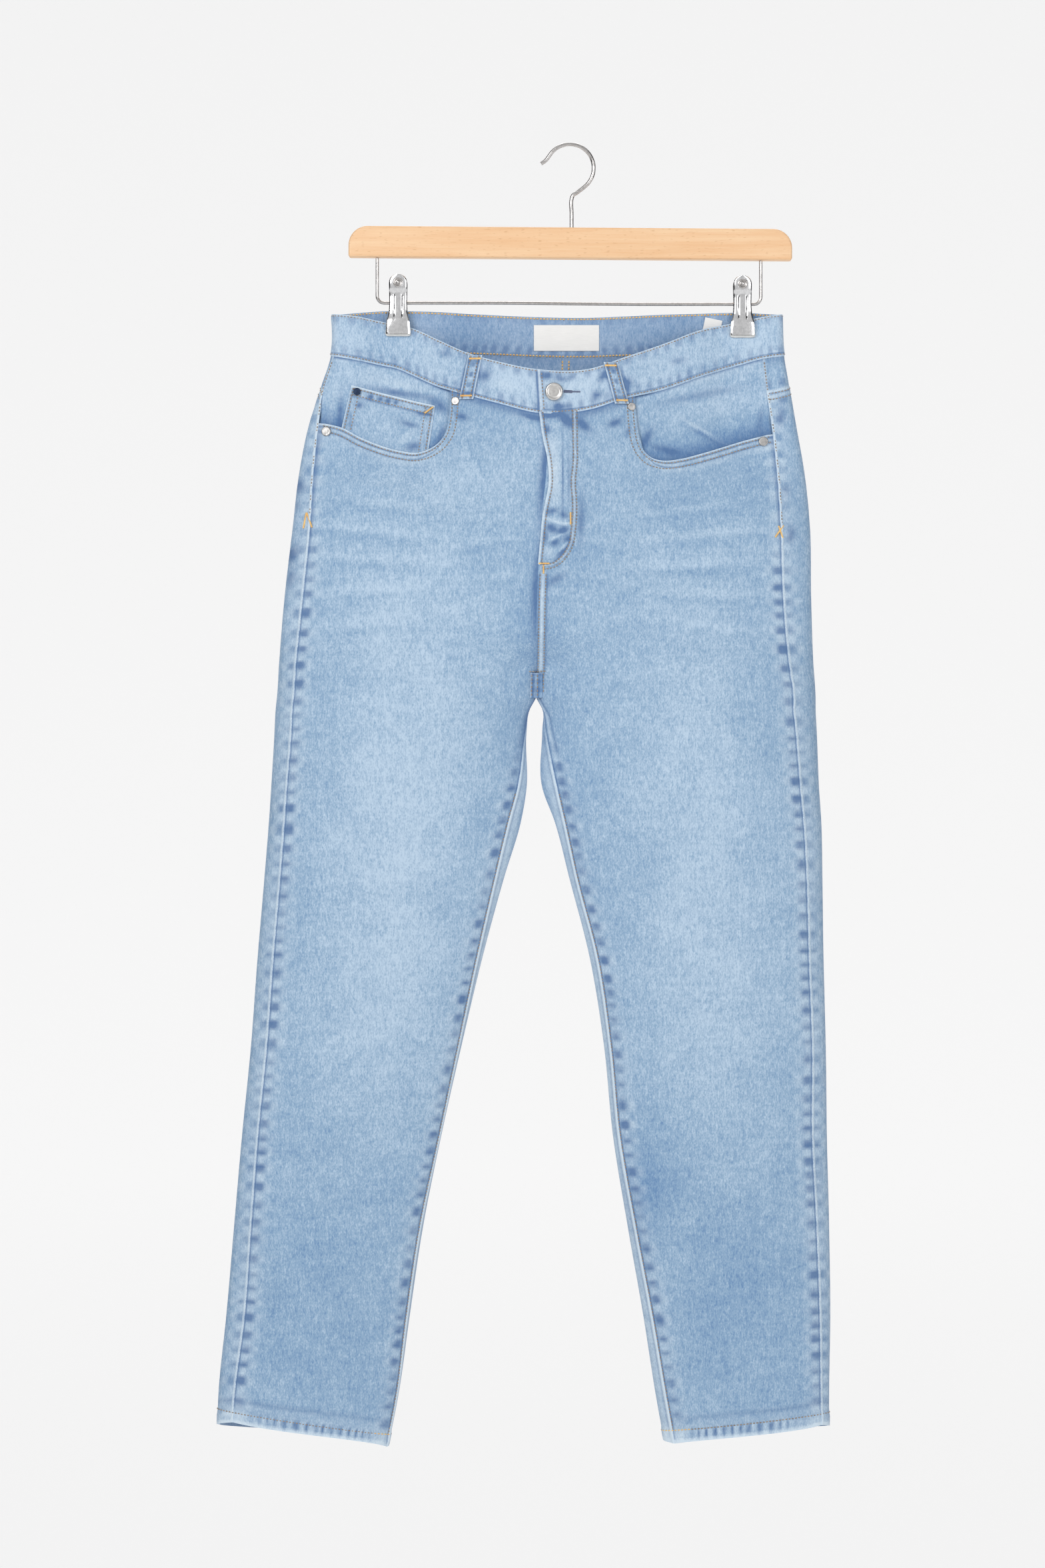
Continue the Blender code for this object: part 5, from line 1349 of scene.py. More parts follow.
FLY_EDGE = ((-28.6, -238.5), (-27.8, -244), (-27.0, -251), (-24.6, -265), (-21.4, -280), (-20.6, -306),
            (-23.0, -318), (-25.4, -330), (-27.6, -352), (-29.6, -373.5))
FLY_STITCH = ((4.8, -236.5), (5.2, -262), (5.2, -283), (3.4, -302), (4.6, -320), (3.8, -340), (0.4, -359),
              (-6.2, -369.5), (-14.8, -376), (-25.4, -378))
FLY_PROUD = 0.95
FLY_DIP = 0.12
FLY_THICK = 1.0
FLY_MARKS = (
    # mark, edge, at, reach, gate, amount
    ("rise", "first", 0.0, 3.2, "all", 0.50),
    ("rise", "last", 9.0, 6.0, "wave", 0.35),
    ("wear_and_highlight", "first", 0.9, 1.1, "all", 0.90),
    ("wear_and_highlight", "last", 4.4, 1.2, "all", 0.45),
    # dark lines beside the three stitch rows: painted shade in their furrows
    ("dye_and_shade", "first", 3.4, 0.7, "all", 0.50),
    ("dye_and_shade", "last", 2.6, 0.7, "all", 0.45),
    ("dye_and_shade", "last", 6.2, 0.7, "all", 0.45),
    # darker under the waistband: painted shade
    ("dye_and_shade", "top", 0.0, 6.0, "all", 0.35),
)

fly_rows, fly_columns = 110, 42
fly_first = smooth_line(FLY_EDGE, fly_rows)
fly_last = smooth_line(FLY_STITCH, fly_rows) + (2.2, 0.0)
fly_share = np.linspace(0.0, 1.0, fly_columns)[None, :]
fly_grid = fly_first[:, None] + (fly_last - fly_first)[:, None] * fly_share[..., None]
fly_points = face_place("front", fly_grid[..., 0], fly_grid[..., 1])[0]
fly_edges = grid_edges(fly_points)
fly_rise, fly_marks = marked(FLY_MARKS, fly_edges, washed(fly_points) + 0.15,
                             wave=pucker_wave(fly_edges["top"] * 1.25))
fly_rise = fly_rise + FLY_PROUD * smoothstep(0.0, 9.0, fly_edges["last"]) - FLY_DIP
fly_marks = blotted("fly", fly_grid[..., 0], fly_grid[..., 1], fly_marks)
fly = laid_patch("fly_overlap", "front", fly_grid, FLY_THICK, fly_rise, fly_marks, denim)
declare(fly, "denim")

# The short lap at the fork, under the cross seam: it stands for the recessed back crotch between the
# front panels and is painted darker as shade
FORK_LAP = ((-36.0, -468.6), (-25.6, -468.6), (-36.4, -490.6), (-25.4, -490.6))
FORK_LIFT = 1.15
FORK_DIP = 0.3
FORK_HALF_THICK = 0.45
FORK_MARKS = (
    # mark, edge, at, reach, gate, amount
    ("wear_and_highlight", "first", 0.2, 0.7, "all", 0.55),
    ("wear_and_highlight", "first", 5.4, 1.0, "all", 0.30),
    ("wear_and_highlight", "top", 0.0, 0.7, "all", 0.35),
    # dark lines beside the lap's two stitch rows: painted shade in their furrows
    ("dye_and_shade", "first", 2.4, 1.1, "all", 0.55),
    ("dye_and_shade", "first", 8.4, 1.3, "all", 0.50),
)
fork_grid = flat_grid(FORK_LAP, 26, 40)
fork_points = face_place("front", fork_grid[..., 0], fork_grid[..., 1])[0]
fork_left, fork_right = fork_points[:, :1, 1], fork_points[:, -1:, 1]
fork_chord = fork_left + (fork_right - fork_left) * np.linspace(0.0, 1.0, 26)
fork_points[..., 1] = fork_chord + FORK_DIP * (fork_points[..., 1] - fork_chord)
fork_edges = grid_edges(fork_points)
# The whole lap painted darker: painted shade of its recess
fork_marks = marked(FORK_MARKS, fork_edges, -0.55)[1]
fork_marks["dye_and_shade"] = fork_marks["dye_and_shade"] + 0.35 * spots(fork_edges["top"] * 1.9)
fork_rise = FORK_LIFT + 0.25 * smoothstep(0.0, 2.0, fork_edges["near"])
fork_out = np.array([0.0, -1.0, 0.0])
fork_middle = fork_points + fork_out * fork_rise[..., None]
fork_off = fork_out * FORK_HALF_THICK
fork = closed_wall("fork_lap", fork_middle + fork_off, fork_middle - fork_off, fork_marks, denim)
declare(fork, "denim")


# Belt loops
# Five narrow strips folded in three, tacked at the top edge of the waistband and under its seam.

BELT_LOOP_WIDTH = 12.4
BELT_LOOP_BELOW_SEAM = 4.0
BELT_LOOP_LIFT = 2.1
BELT_LOOPS = (
    # face, top_x, low_x
    ("front", -84.5, -92.5),
    ("front", 34.5, 44.5),
    ("back", -193.0, -193.0),
    ("back", -3.5, -3.5),
    ("back", 171.2, 171.2),
)
BELT_LOOP_MARKS = (
    # mark, edge, at, reach, gate, amount
    ("rise", "ends", 3.0, 2.2, "all", -0.45),
    ("wear_and_highlight", "sides", 0.0, 0.8, "all", 0.85),
    ("wear_and_highlight", "ends", 0.0, 1.2, "all", 0.50),
    # a dark line down each side: painted shade
    ("dye_and_shade", "sides", 1.9, 0.7, "all", 0.75),
    ("dye_and_shade", "sides", 6.2, 2.2, "spots", 0.60),
    # darker near the ends, where the loop dips under its tacks: painted shade
    ("dye_and_shade", "ends", 5.5, 2.0, "all", 0.50),
)


def belt_loop_ends(face, top_x, low_x):
    """X and Z of the middle of a belt loop's two ends."""
    top = np.array([top_x, float(BAND[face + "_top"](top_x))])
    low = np.array([low_x, float(BAND[face + "_seam"](low_x)) - BELT_LOOP_BELOW_SEAM])
    return top, low


for count, (face, top_x, low_x) in enumerate(BELT_LOOPS, start=1):
    top, low = belt_loop_ends(face, top_x, low_x)
    half_width = np.array([BELT_LOOP_WIDTH / 2, 0.0])
    grid = flat_grid((top - half_width, top + half_width, low - half_width, low + half_width), 22, 56)
    points = face_place(face, grid[..., 0], grid[..., 1])[0]
    edges = grid_edges(points)
    thick = 0.5 + 1.1 * smoothstep(0.0, 1.3, edges["sides"]) * smoothstep(0.0, 1.0, edges["ends"])
    # Darker towards both ends: painted shade
    rise, marks = marked(BELT_LOOP_MARKS, edges, 0.45 - 0.4 * bell(edges["ends"], 0.0, 7.0),
                         spots=spots(edges["top"] * 1.7))
    lift = BELT_LOOP_LIFT + 0.25 * smoothstep(2.0, 5.5, edges["sides"]) + rise
    loop = laid_patch("belt_loop_strip_%d" % count, face, grid, thick, lift, marks, denim)
    declare(loop, "denim", "belt_loop_%d" % count)
    "waistband_right" if top_x < 0 else "waistband_left"


# Labels
# A bare white woven label and the folded corner of a care label, on the inside of the back waistband.

LABELS = (
    # name, left, right, top, bottom, thick, lean_degrees, cut
    ("main_label", -33.0, 25.0, -158.7, -181.7, 0.5, 0.0, (0.058, 0.023)),
    ("care_label", 116.5, 132.0, -153.2, -181.0, 0.4, -12.0, (0.0155, 0.028)),
)
LABEL_WHITE = (0.93, 0.92, 0.90)
LABEL_GREY = (0.79, 0.78, 0.76)


def label_finish():
    """White satin: fine lengthwise ribs and a faint cloud."""
    satin = Finish("label_satin")
    ribs = satin.noise(satin.stretched((0.1, 0.1, 1.0)), 1500.0, 1.0)
    cloud = satin.noise(satin.place(), 90.0, 3.0)
    colour = satin.mix((ribs - 0.5) * 0.5 + (cloud - 0.5) * 0.5 + 0.35, LABEL_WHITE, LABEL_GREY)
    satin.set(Base_Color=colour, Roughness=0.55, Sheen_Weight=0.1, Normal=satin.bump(ribs, 0.2, 0.0003))
    return satin.material


label_satin = label_finish()
for name, left, right, top, bottom, thick, lean, cut in LABELS:
    grid = flat_grid(((right, top), (left, top), (right, bottom), (left, bottom)), 50, 24)
    x, z = grid[..., 0], grid[..., 1]
    sag = 0.25 * np.sin(PI * (x - left) / (right - left)) * np.sin(PI * (z - bottom) / (top - bottom))
    turn = math.radians(lean)
    from_x, from_z = x - (left + right) / 2, z - (top + bottom) / 2
    x = x - from_x + from_x * math.cos(turn) - from_z * math.sin(turn)
    z = z - from_z + from_z * math.cos(turn) + from_x * math.sin(turn)
    y = BAND["back_y"](x) - WAISTBAND_THICK / 2 - 0.45 - thick / 2 - sag
    middle = np.stack([x, y, z], axis=-1)
    front = np.array([0.0, -1.0, 0.0])
    half_wall = front * thick / 2
    label = closed_wall(name + "_satin", middle + half_wall, middle - half_wall, {}, label_satin)
    declare(label, "label", name)


# Thread
# Tan lockstitch and orange bar tacks. Each stitch is a short bent capsule that dips at its ends.

STITCH_STEP = 2.9
STITCH_SHARE = 0.72
THREAD_RADIUS = 0.50
SEAM_THREAD_RADIUS = 0.34
INSIDE_THREAD_RADIUS = 0.78
TACK_STEP = 0.62
TACK_WIDTH = 1.9
STITCH_SIDES = 5
THREAD_TAN = (0.250, 0.195, 0.150)
THREAD_ORANGE = (0.790, 0.425, 0.135)
THREAD_PALE = (0.455, 0.550, 0.680)


def thread_finish(name, colour):
    """Two-ply cotton: fine slanted plies, a little faded in places."""
    cotton = Finish(name)
    ply = cotton.noise(cotton.stretched((1.0, 1.0, 1.0), (0.0, 0.7, 0.0)), 2400.0, 1.0)
    faded = cotton.noise(cotton.place(), 160.0, 2.0)
    pale = tuple(min(1.0, part * 1.45 + 0.10) for part in colour)
    tone = cotton.mix((ply - 0.5) * 1.0 + (faded - 0.5) * 1.6 + 0.45, colour, pale)
    cotton.set(Base_Color=tone, Roughness=0.62, Sheen_Weight=0.1, Normal=cotton.bump(ply, 0.4, 0.0002))
    return cotton.material


def stitches_along(points, normals, step, share):
    """Cut a path into stitches: the start, the end and the outward direction of each."""
    length = np.concatenate([[0.0], np.cumsum(np.linalg.norm(np.diff(points, axis=0), axis=1))])
    count = max(int(length[-1] / step), 1)
    begin = (np.arange(count) + (1.0 - share) / 2) * length[-1] / count
    end = begin + share * length[-1] / count
    read = [np.stack([np.interp(at, length, points[:, i]) for i in range(3)], axis=-1)
            for at in (begin, end)]
    out = np.stack([np.interp((begin + end) / 2, length, normals[:, i]) for i in range(3)], axis=-1)
    return read[0], read[1], out


def sewn(face, line, lift, step=STITCH_STEP):
    """A row of stitches along X, Z points on one face, lifted off the cloth's middle surface."""
    path = smooth_line(line, 160)
    points, normals = face_place(face, path[:, 0], path[:, 1])
    height = np.asarray(lift, dtype=float).reshape(-1, 1)
    return stitches_along(points + normals * height, normals, step, STITCH_SHARE)


def sewn_round(half, angle, z, lift):
    """A row of stitches at angles round one half; a negative lift is on the reverse side."""
    normals = cloth_normal(half, angle, z)
    points = cloth(half, angle, z) + normals * lift
    return stitches_along(points, normals * math.copysign(1.0, lift), STITCH_STEP, STITCH_SHARE)


def tacked(face, start, end, lift, width=TACK_WIDTH):
    """A bar tack from start to end: close stitches across its line."""
    count = max(int(math.dist(start, end) / TACK_STEP), 2)
    share = np.linspace(0.0, 1.0, count)[:, None]
    line = np.array(start) + (np.array(end) - np.array(start)) * share
    way = (np.array(end) - np.array(start)) / math.dist(start, end)
    across = np.array([-way[1], way[0]]) * width / 2
    first, out = face_place(face, (line - across)[:, 0], (line - across)[:, 1])
    last, _ = face_place(face, (line + across)[:, 0], (line + across)[:, 1])
    return first + out * lift, last + out * lift, out


WELD_DISTANCE = 1e-6


def tube_faces(rings, sides):
    """Quads between rings of points: a point, the next one round, and the two of the ring after."""
    k = np.arange(sides)
    after = (k + 1) % sides
    start = np.arange(rings - 1)[:, None] * sides
    return np.stack([start + k, start + after, start + after + sides, start + k + sides],
                    axis=-1).reshape(-1, 4)


def solid_piece(name, points, faces, paint, sharp_degrees=0.0, mend=False):
    """A smooth mesh from points in millimetres; mending welds doubles and turns the faces outwards."""
    mesh = bpy.data.meshes.new(name)
    mesh.from_pydata((points.reshape(-1, 3) * MM).tolist(), [], faces)
    if mend:
        work = bmesh.new()
        work.from_mesh(mesh)
        bmesh.ops.remove_doubles(work, verts=work.verts, dist=WELD_DISTANCE)
        bmesh.ops.recalc_face_normals(work, faces=work.faces)
        work.to_mesh(mesh)
        work.free()
    mesh.shade_smooth()
    if sharp_degrees:
        mesh.set_sharp_from_angle(angle=math.radians(sharp_degrees))
    mesh.materials.append(paint)
    return place_object(name, mesh)


def thread_piece(name, rows, paint, radius=THREAD_RADIUS):
    """One mesh of all stitches: five-sided rings along each, thin and low at its ends."""
    start, end, out = (np.concatenate([row[i] for row in rows]) for i in range(3))
    out = out / np.linalg.norm(out, axis=1, keepdims=True)
    side = np.cross(end - start, out)
    side = side / np.linalg.norm(side, axis=1, keepdims=True)
    at = np.array([0.0, 0.25, 0.75, 1.0])
    size = np.array([0.45, 1.0, 1.0, 0.45]) * radius
    raised = np.array([-0.6, 0.3, 0.3, -0.6]) * radius
    turn = np.arange(STITCH_SIDES) * 2 * PI / STITCH_SIDES
    centre = start[:, None] + (end - start)[:, None] * at[:, None] + out[:, None] * raised[:, None]
    ring = (side[:, None, None] * np.cos(turn)[:, None] + out[:, None, None] * np.sin(turn)[:, None])
    points = centre[:, :, None] + ring * size[:, None, None]
    per_stitch = STITCH_SIDES * len(at)
    base = np.arange(len(start))[:, None, None] * per_stitch
    quads = np.roll(tube_faces(len(at), STITCH_SIDES)[:, ::-1], 1, axis=1) + base
    cap = np.arange(STITCH_SIDES)
    caps = np.stack([cap, per_stitch - 1 - cap]) + base
    faces = quads.reshape(-1, 4).tolist() + caps.reshape(-1, STITCH_SIDES).tolist()
    piece = solid_piece(name, points, faces, paint)
    declare(piece, "denim")
    return piece


def beside(line, gap):
    """A row of X, Z points moved sideways: gap times the left normal of the line."""
    path = smooth_line(line, 60)
    way = np.gradient(path, axis=0)
    way = way / np.linalg.norm(way, axis=1, keepdims=True)
    return path + np.stack([-way[:, 1], way[:, 0]], axis=-1) * gap


ON_PANEL = DENIM_THICK / 2 + 0.10
ON_BAND = WAISTBAND_THICK / 2 + 0.10
tan = thread_finish("thread_tan", THREAD_TAN)
orange = thread_finish("thread_orange", THREAD_ORANGE)
pale = thread_finish("thread_pale", THREAD_PALE)
tan_front, tan_back, tan_band = [], [], []
orange_tacks, orange_inside, pale_seams = [], [], []

# Waistband: one row along each edge, and the seam row seen inside the back
for half in ("right", "left"):
    angle = np.linspace(PI - 0.004, -PI + 0.004, 420)
    top = waist_height(half, angle, "top")
    low = waist_height(half, angle, "seam")
    tan_band.append(sewn_round(half, angle, top - 1.5, ON_BAND - 0.35))
    tan_band.append(sewn_round(half, angle, low + 1.9, ON_BAND - 0.1))
    back = angle < -0.05
    orange_inside.append(sewn_round(half, angle[back], top[back] - 1.5, -ON_BAND + 0.35))
    orange_inside.append(sewn_round(half, angle[back], low[back] + 1.9, -ON_BAND))

# The waistband's lapped end
lap_z = np.linspace(float(BAND["front_top"](-25.0)) - 2.5, float(BAND["front_seam"](-25.0)) + 3.0, 12)
lap_line = np.stack([MID["front"](lap_z) - 2.5, lap_z], axis=-1)
tan_band.append(sewn("front", lap_line, ON_BAND + BAND_END_PROUD))

# Pocket mouths, coin pocket, fly and middle seam
for half in ("right", "left"):
    side = -1.0 if half == "right" else 1.0
    tan_front.append(sewn("front", beside(SCOOPS[half], side * 2.1), ON_PANEL))
    tan_front.append(sewn("front", beside(SCOOPS[half], side * 7.0), ON_PANEL))
coin_top = [np.array(COIN_POCKET[0], dtype=float), np.array(COIN_POCKET[1], dtype=float)]
coin_low = [np.array(COIN_POCKET[2], dtype=float), np.array(COIN_POCKET[3], dtype=float)]


def coin_place(across, down):
    """X, Z on the coin pocket at shares across and down."""
    top = coin_top[0] + (coin_top[1] - coin_top[0]) * across
    low = coin_low[0] + (coin_low[1] - coin_low[0]) * across
    return top + (low - top) * down


def coin_lift_at(line):
    """Height of the coin pocket's outer face along X, Z points."""
    path = smooth_line(line, 160)
    share = np.clip((path[:, 1] - coin_low[0][1]) / (coin_top[0][1] - coin_low[0][1]), 0.0, 1.0)
    sink = facing_sink("right", path[:, 0], path[:, 1], smoothstep(0.45, 0.80, 1.0 - share))
    return 0.9 + 0.5 - np.minimum(sink, FACING_SINK) + 0.12


COIN_ROWS = (
    # across and down at each end, as shares of the coin pocket
    (0.03, 0.045, 0.97, 0.045),
    (0.03, 0.16, 0.97, 0.16),
    (0.03, 0.03, 0.03, 0.80),
    (0.105, 0.05, 0.105, 0.80),
    (0.97, 0.03, 0.97, 0.98),
    (0.895, 0.05, 0.895, 0.98),
)
for across, down, end_across, end_down in COIN_ROWS:
    line = (coin_place(across, down), coin_place(end_across, end_down))
    tan_front.append(sewn("front", line, coin_lift_at(line)))
tan_front.append(sewn("front", FLY_STITCH, ON_PANEL + FLY_PROUD * 0.25))
tan_front.append(sewn("front", beside(FLY_STITCH, -3.6), ON_PANEL + FLY_PROUD * 0.75))
tan_front.append(sewn("front", beside(FLY_EDGE, 3.3), ON_PANEL + FLY_PROUD))
for fork_column in (3, 15):
    fork_row = fork_middle[2:-2, fork_column] + fork_out * 0.6
    fork_outs = np.broadcast_to(fork_out, fork_row.shape)
    tan_front.append(stitches_along(fork_row, fork_outs, STITCH_STEP, STITCH_SHARE))
tan_front.append(sewn("front", ((-38.0, -467.2), (-31.0, -467.0), (-22.0, -466.8)), ON_PANEL + 0.2))
middle_z = np.linspace(-382.0, -486.0, 14)
for gap in (1.9, 7.0):
    middle_line = np.stack([MID["front"](middle_z) + gap, middle_z], axis=-1)
    tan_front.append(sewn("front", middle_line, ON_PANEL))

# Side seams: tan down to the bar tack, then the pale twist of the seam itself; the inseam's row
for half in ("right", "left"):
    seam_z = np.linspace(-192.0, SEAM_TACK_Z[half] + 6.0, 120)
    tan_front.append(sewn_round(half, side_seam(half, seam_z) - 0.03, seam_z, ON_PANEL))
    seam_z = np.linspace(SEAM_TACK_Z[half] - 6.0, HEMS[half][0] + HEM_HEIGHT + 1.0, 400)
    pale_seams.append(sewn_round(half, side_seam(half, seam_z) - 0.008, seam_z, ON_PANEL))
    seam_z = np.linspace(-575.0, HEMS[half][1] + HEM_HEIGHT + 1.0, 400)
    tan_front.append(sewn_round(half, inner_seam(half, seam_z) - 0.012, seam_z, ON_PANEL))

# Back: yoke seams, middle seam and pockets
for half in ("right", "left"):
    angle = np.linspace(float(side_seam(half, YOKE["side"])) - 0.02, -PI, 300)
    low = yoke_height(half, angle)
    tan_back.append(sewn_round(half, angle, low - 1.9, ON_PANEL))
    tan_back.append(sewn_round(half, angle, low - 7.2, ON_PANEL))
    top, foot = back_pocket_corners(half)
    tip = (foot[0] + foot[1]) / 2 - (0.0, BACK_POCKET["point"])
    centre = (top[0] + top[1] + foot[0] + foot[1]) / 4
    for inset in (0.030, 0.105):
        corner = [place + (centre - place) * inset for place in (top[0], foot[0], tip, foot[1], top[1])]
        corner[0] = np.array([corner[0][0], top[0][1] - 0.5])
        corner[-1] = np.array([corner[-1][0], top[1][1] - 0.5])
        for first, last in zip(corner, corner[1:]):
            tan_back.append(sewn("back", (first, (first + last) / 2, last), BACK_POCKET_LIFT + 0.62))
    for drop in (2.5, 13.0):
        first, last = top[0] - (0.0, drop), top[1] - (0.0, drop)
        tan_back.append(sewn("back", (first, (first + last) / 2, last), BACK_POCKET_LIFT + 0.75))
    for place in (top[0], top[1]):
        toward = math.copysign(1.0, centre[0] - place[0])
        orange_tacks.append(tacked("back", (place[0] + toward * 0.8, place[1] - 1.2),
                                   (place[0] + toward * 8.5, place[1] - 1.2), BACK_POCKET_LIFT + 0.70))
back_z = np.linspace(-190.0, -484.0, 30)
for gap in (1.9, 7.0):
    back_line = np.stack([MID["back"](back_z) - gap, back_z], axis=-1)
    tan_back.append(sewn("back", back_line, ON_PANEL))
inside_z = np.linspace(-190.0, -222.0, 8)
for gap in (-2.4, 3.4):
    inside_line = np.stack([MID["back"](inside_z) + gap, inside_z], axis=-1)
    orange_inside.append(sewn("back", inside_line, -ON_PANEL))

# Hems, outside: tan, with a stretch of orange where the ring of stitches closes
HEM_CLOSES = {"right": (-178.0, -164.0), "left": (82.0, 108.0)}
for half in ("right", "left"):
    outer_z, inner_z = HEMS[half]
    closes = [float(angle_at(half, "front", x, inner_z)) for x in HEM_CLOSES[half]]
    low_angle, high_angle = min(closes), max(closes)
    for first, last, rows in ((0.01, low_angle, tan_back), (low_angle, high_angle, orange_tacks),
                              (high_angle, PI - 0.01, tan_back), (-PI + 0.01, -0.01, tan_back)):
        angle = np.linspace(first, last, 150)
        z = outer_z + (inner_z - outer_z) * (1.0 - np.cos(angle)) / 2 + HEM_HEIGHT - 0.4
        rows.append(sewn_round(half, angle, z, HEM_THICK / 2 - 0.35))

# Belt loops: two rows down each, a bar tack at each end
for face, top_x, low_x in BELT_LOOPS:
    top, low = belt_loop_ends(face, top_x, low_x)
    for gap in (-3.4, 3.4):
        shift = np.array([gap, 0.0])
        row = (top + shift, (top + low) / 2 + shift, low + shift)
        tan_band.append(sewn(face, row, BELT_LOOP_LIFT + 0.95))
    reach = np.array([BELT_LOOP_WIDTH / 2 - 1.4, 0.0])
    drop = np.array([0.0, -3.0])
    orange_tacks.append(tacked(face, top - reach + drop, top + reach + drop, BELT_LOOP_LIFT + 0.62))
    orange_tacks.append(tacked(face, low - reach - drop, low + reach - drop, BELT_LOOP_LIFT + 0.62))

# Orange bar tacks: both sides, fly, middle, coin pocket and the inside of the back waistband
TACKS = (
    # face, start_x, start_z, end_x, end_z, lift
    ("front", -234.5, -327.0, -237.0, -340.0, 0.95),
    ("front", -234.0, -327.0, -229.5, -339.5, 0.95),
    ("front", 183.5, -339.0, 187.0, -349.0, 0.95),
    ("front", 180.5, -348.5, 187.5, -338.5, 0.95),
    ("front", -0.8, -328.5, -0.8, -338.5, 1.60),
    ("front", -28.4, -373.0, -19.8, -373.0, 1.50),
    ("front", -24.6, -375.0, -24.6, -381.5, 1.10),
    ("front", -129.5, -238.0, -122.5, -233.0, 0.55),
)
for face, start_x, start_z, end_x, end_z, lift in TACKS:
    orange_tacks.append(tacked(face, (start_x, start_z), (end_x, end_z), lift, 1.5))
thread_piece("thread_seams", pale_seams, pale, SEAM_THREAD_RADIUS)
thread_piece("thread_front", tan_front, tan)
thread_piece("thread_back", tan_back, tan)
thread_piece("thread_waistband", tan_band, tan)
thread_piece("thread_inside", orange_inside, orange, INSIDE_THREAD_RADIUS)
thread_piece("thread_bar_tacks", orange_tacks, orange)


# Button and rivets
# A plain shank button with a raised rim, and small domed rivets at the ends of the pocket mouths.

BUTTON = {"x": -15.3, "z": -221.0, "radius": 8.0}
BUTTON_LINE = ((0.0, 0.0), (6.8, 0.0), (7.6, 0.3), (8.0, 0.9), (8.0, 1.6), (7.75, 2.3), (7.1, 2.85),
               (6.4, 2.95), (5.9, 2.6), (5.5, 2.25), (4.0, 2.3), (2.0, 2.35), (0.0, 2.36))
RIVET_LINE = ((0.0, 0.0), (0.92, 0.0), (1.0, 0.06), (0.99, 0.13), (0.92, 0.20), (0.82, 0.225),
              (0.74, 0.21), (0.66, 0.20), (0.50, 0.215), (0.25, 0.235), (0.0, 0.24))
RIVETS = (
    # name, x, z, diameter, seat
    ("rivet_right_side", -217.0, -254.5, 8.4, 1.6),
    ("rivet_right_waist", -102.4, -228.0, 7.4, 1.1),
    ("rivet_left_waist", 53.2, -233.5, 7.2, 1.1),
    ("rivet_left_side", 170.5, -263.5, 8.4, 1.6),
    ("rivet_coin", -190.0, -219.0, 6.6, 0.9),
)
SILVER = (0.72, 0.71, 0.69)
SILVER_DARK = (0.42, 0.41, 0.40)
RIVET_GREY = (0.52, 0.51, 0.50)
RIVET_DARK = (0.25, 0.245, 0.24)
NAVY = (0.045, 0.070, 0.130)


def metal_finish(name, bright, dark, roughness, grain_scale):
    """Plated metal: a cloud of tarnish and fine scratches."""
    plate = Finish(name)
    cloud = plate.noise(plate.place(), 420.0, 3.0)
    scratch = plate.noise(plate.stretched((1.0, 1.0, 0.08), (0.0, 0.8, 0.3)), grain_scale, 2.0)
    colour = plate.mix((cloud - 0.5) * 1.5 + (scratch - 0.5) * 0.8 + 0.3, bright, dark)
    plate.set(Base_Color=colour, Metallic=1.0, Roughness=scratch * 0.2 + roughness,
              Normal=plate.bump(scratch, 0.15, 0.0002))
    return plate.material


def turned(name, line, place, axis, paint, slot, node, sides=48):
    """Spin a line of radius and height round an axis at a place, in millimetres."""
    profile = np.array(line, dtype=float)
    axis = axis / np.linalg.norm(axis)
    first = np.cross(axis, (0.0, 0.0, 1.0))
    first = first / np.linalg.norm(first)
    second = np.cross(axis, first)
    turn = np.arange(sides) * 2 * PI / sides
    ring = first * np.cos(turn)[:, None] + second * np.sin(turn)[:, None]
    body = profile[1:-1]
    points = place + body[:, None, 1:2] * axis + body[:, None, 0:1] * ring
    foot = place + profile[0, 1] * axis
    crown = place + profile[-1, 1] * axis
    verts = np.concatenate([points.reshape(-1, 3), [foot, crown]])
    k = np.arange(sides)
    after = (k + 1) % sides
    top = (len(body) - 1) * sides
    low_fan = np.stack([after, k, 0 * k + len(verts) - 2], axis=-1)
    top_fan = np.stack([k + top, after + top, 0 * k + len(verts) - 1], axis=-1)
    faces = tube_faces(len(body), sides).tolist() + low_fan.tolist() + top_fan.tolist()
    piece = solid_piece(name, verts, faces, paint)
    declare(piece, slot, node)
    return piece


silver = metal_finish("silver_plate", SILVER, SILVER_DARK, 0.24, 900.0)
rivet_plate = metal_finish("rivet_plate", RIVET_GREY, RIVET_DARK, 0.30, 900.0)
navy = metal_finish("navy_enamel", NAVY, (0.02, 0.03, 0.06), 0.35, 900.0)
spot, out = face_place("front", np.array([BUTTON["x"]]), np.array([BUTTON["z"]]))
turned("button_cap", BUTTON_LINE, spot[0] + out[0] * 1.75, out[0], silver, "silver", "button", 64)
for name, x, z, diameter, seat in RIVETS:
    spot, out = face_place("front", np.array([x]), np.array([z]))
    line = [(radius * diameter / 2, height * diameter / 2) for radius, height in RIVET_LINE]
    paint = navy if name == "rivet_coin" else rivet_plate
    turned(name + "_cap", line, spot[0] + out[0] * seat, out[0], paint, "silver", name)

# The buttonhole's dark purl beside the button
BUTTONHOLE = ((-6.2, -220.6), (0.4, -220.9), (7.4, -220.9))
navy_thread = thread_finish("thread_navy", (0.055, 0.075, 0.150))
hole_rows = [tacked("front", BUTTONHOLE[0], BUTTONHOLE[1], ON_BAND + 0.2, 2.6),
             tacked("front", BUTTONHOLE[1], BUTTONHOLE[2], ON_BAND + 0.1, 1.3)]
thread_piece("thread_buttonhole", hole_rows, navy_thread)


# Hanger bar
# A straight bar of oiled beech, rounded at its upper corners, with eased edges.

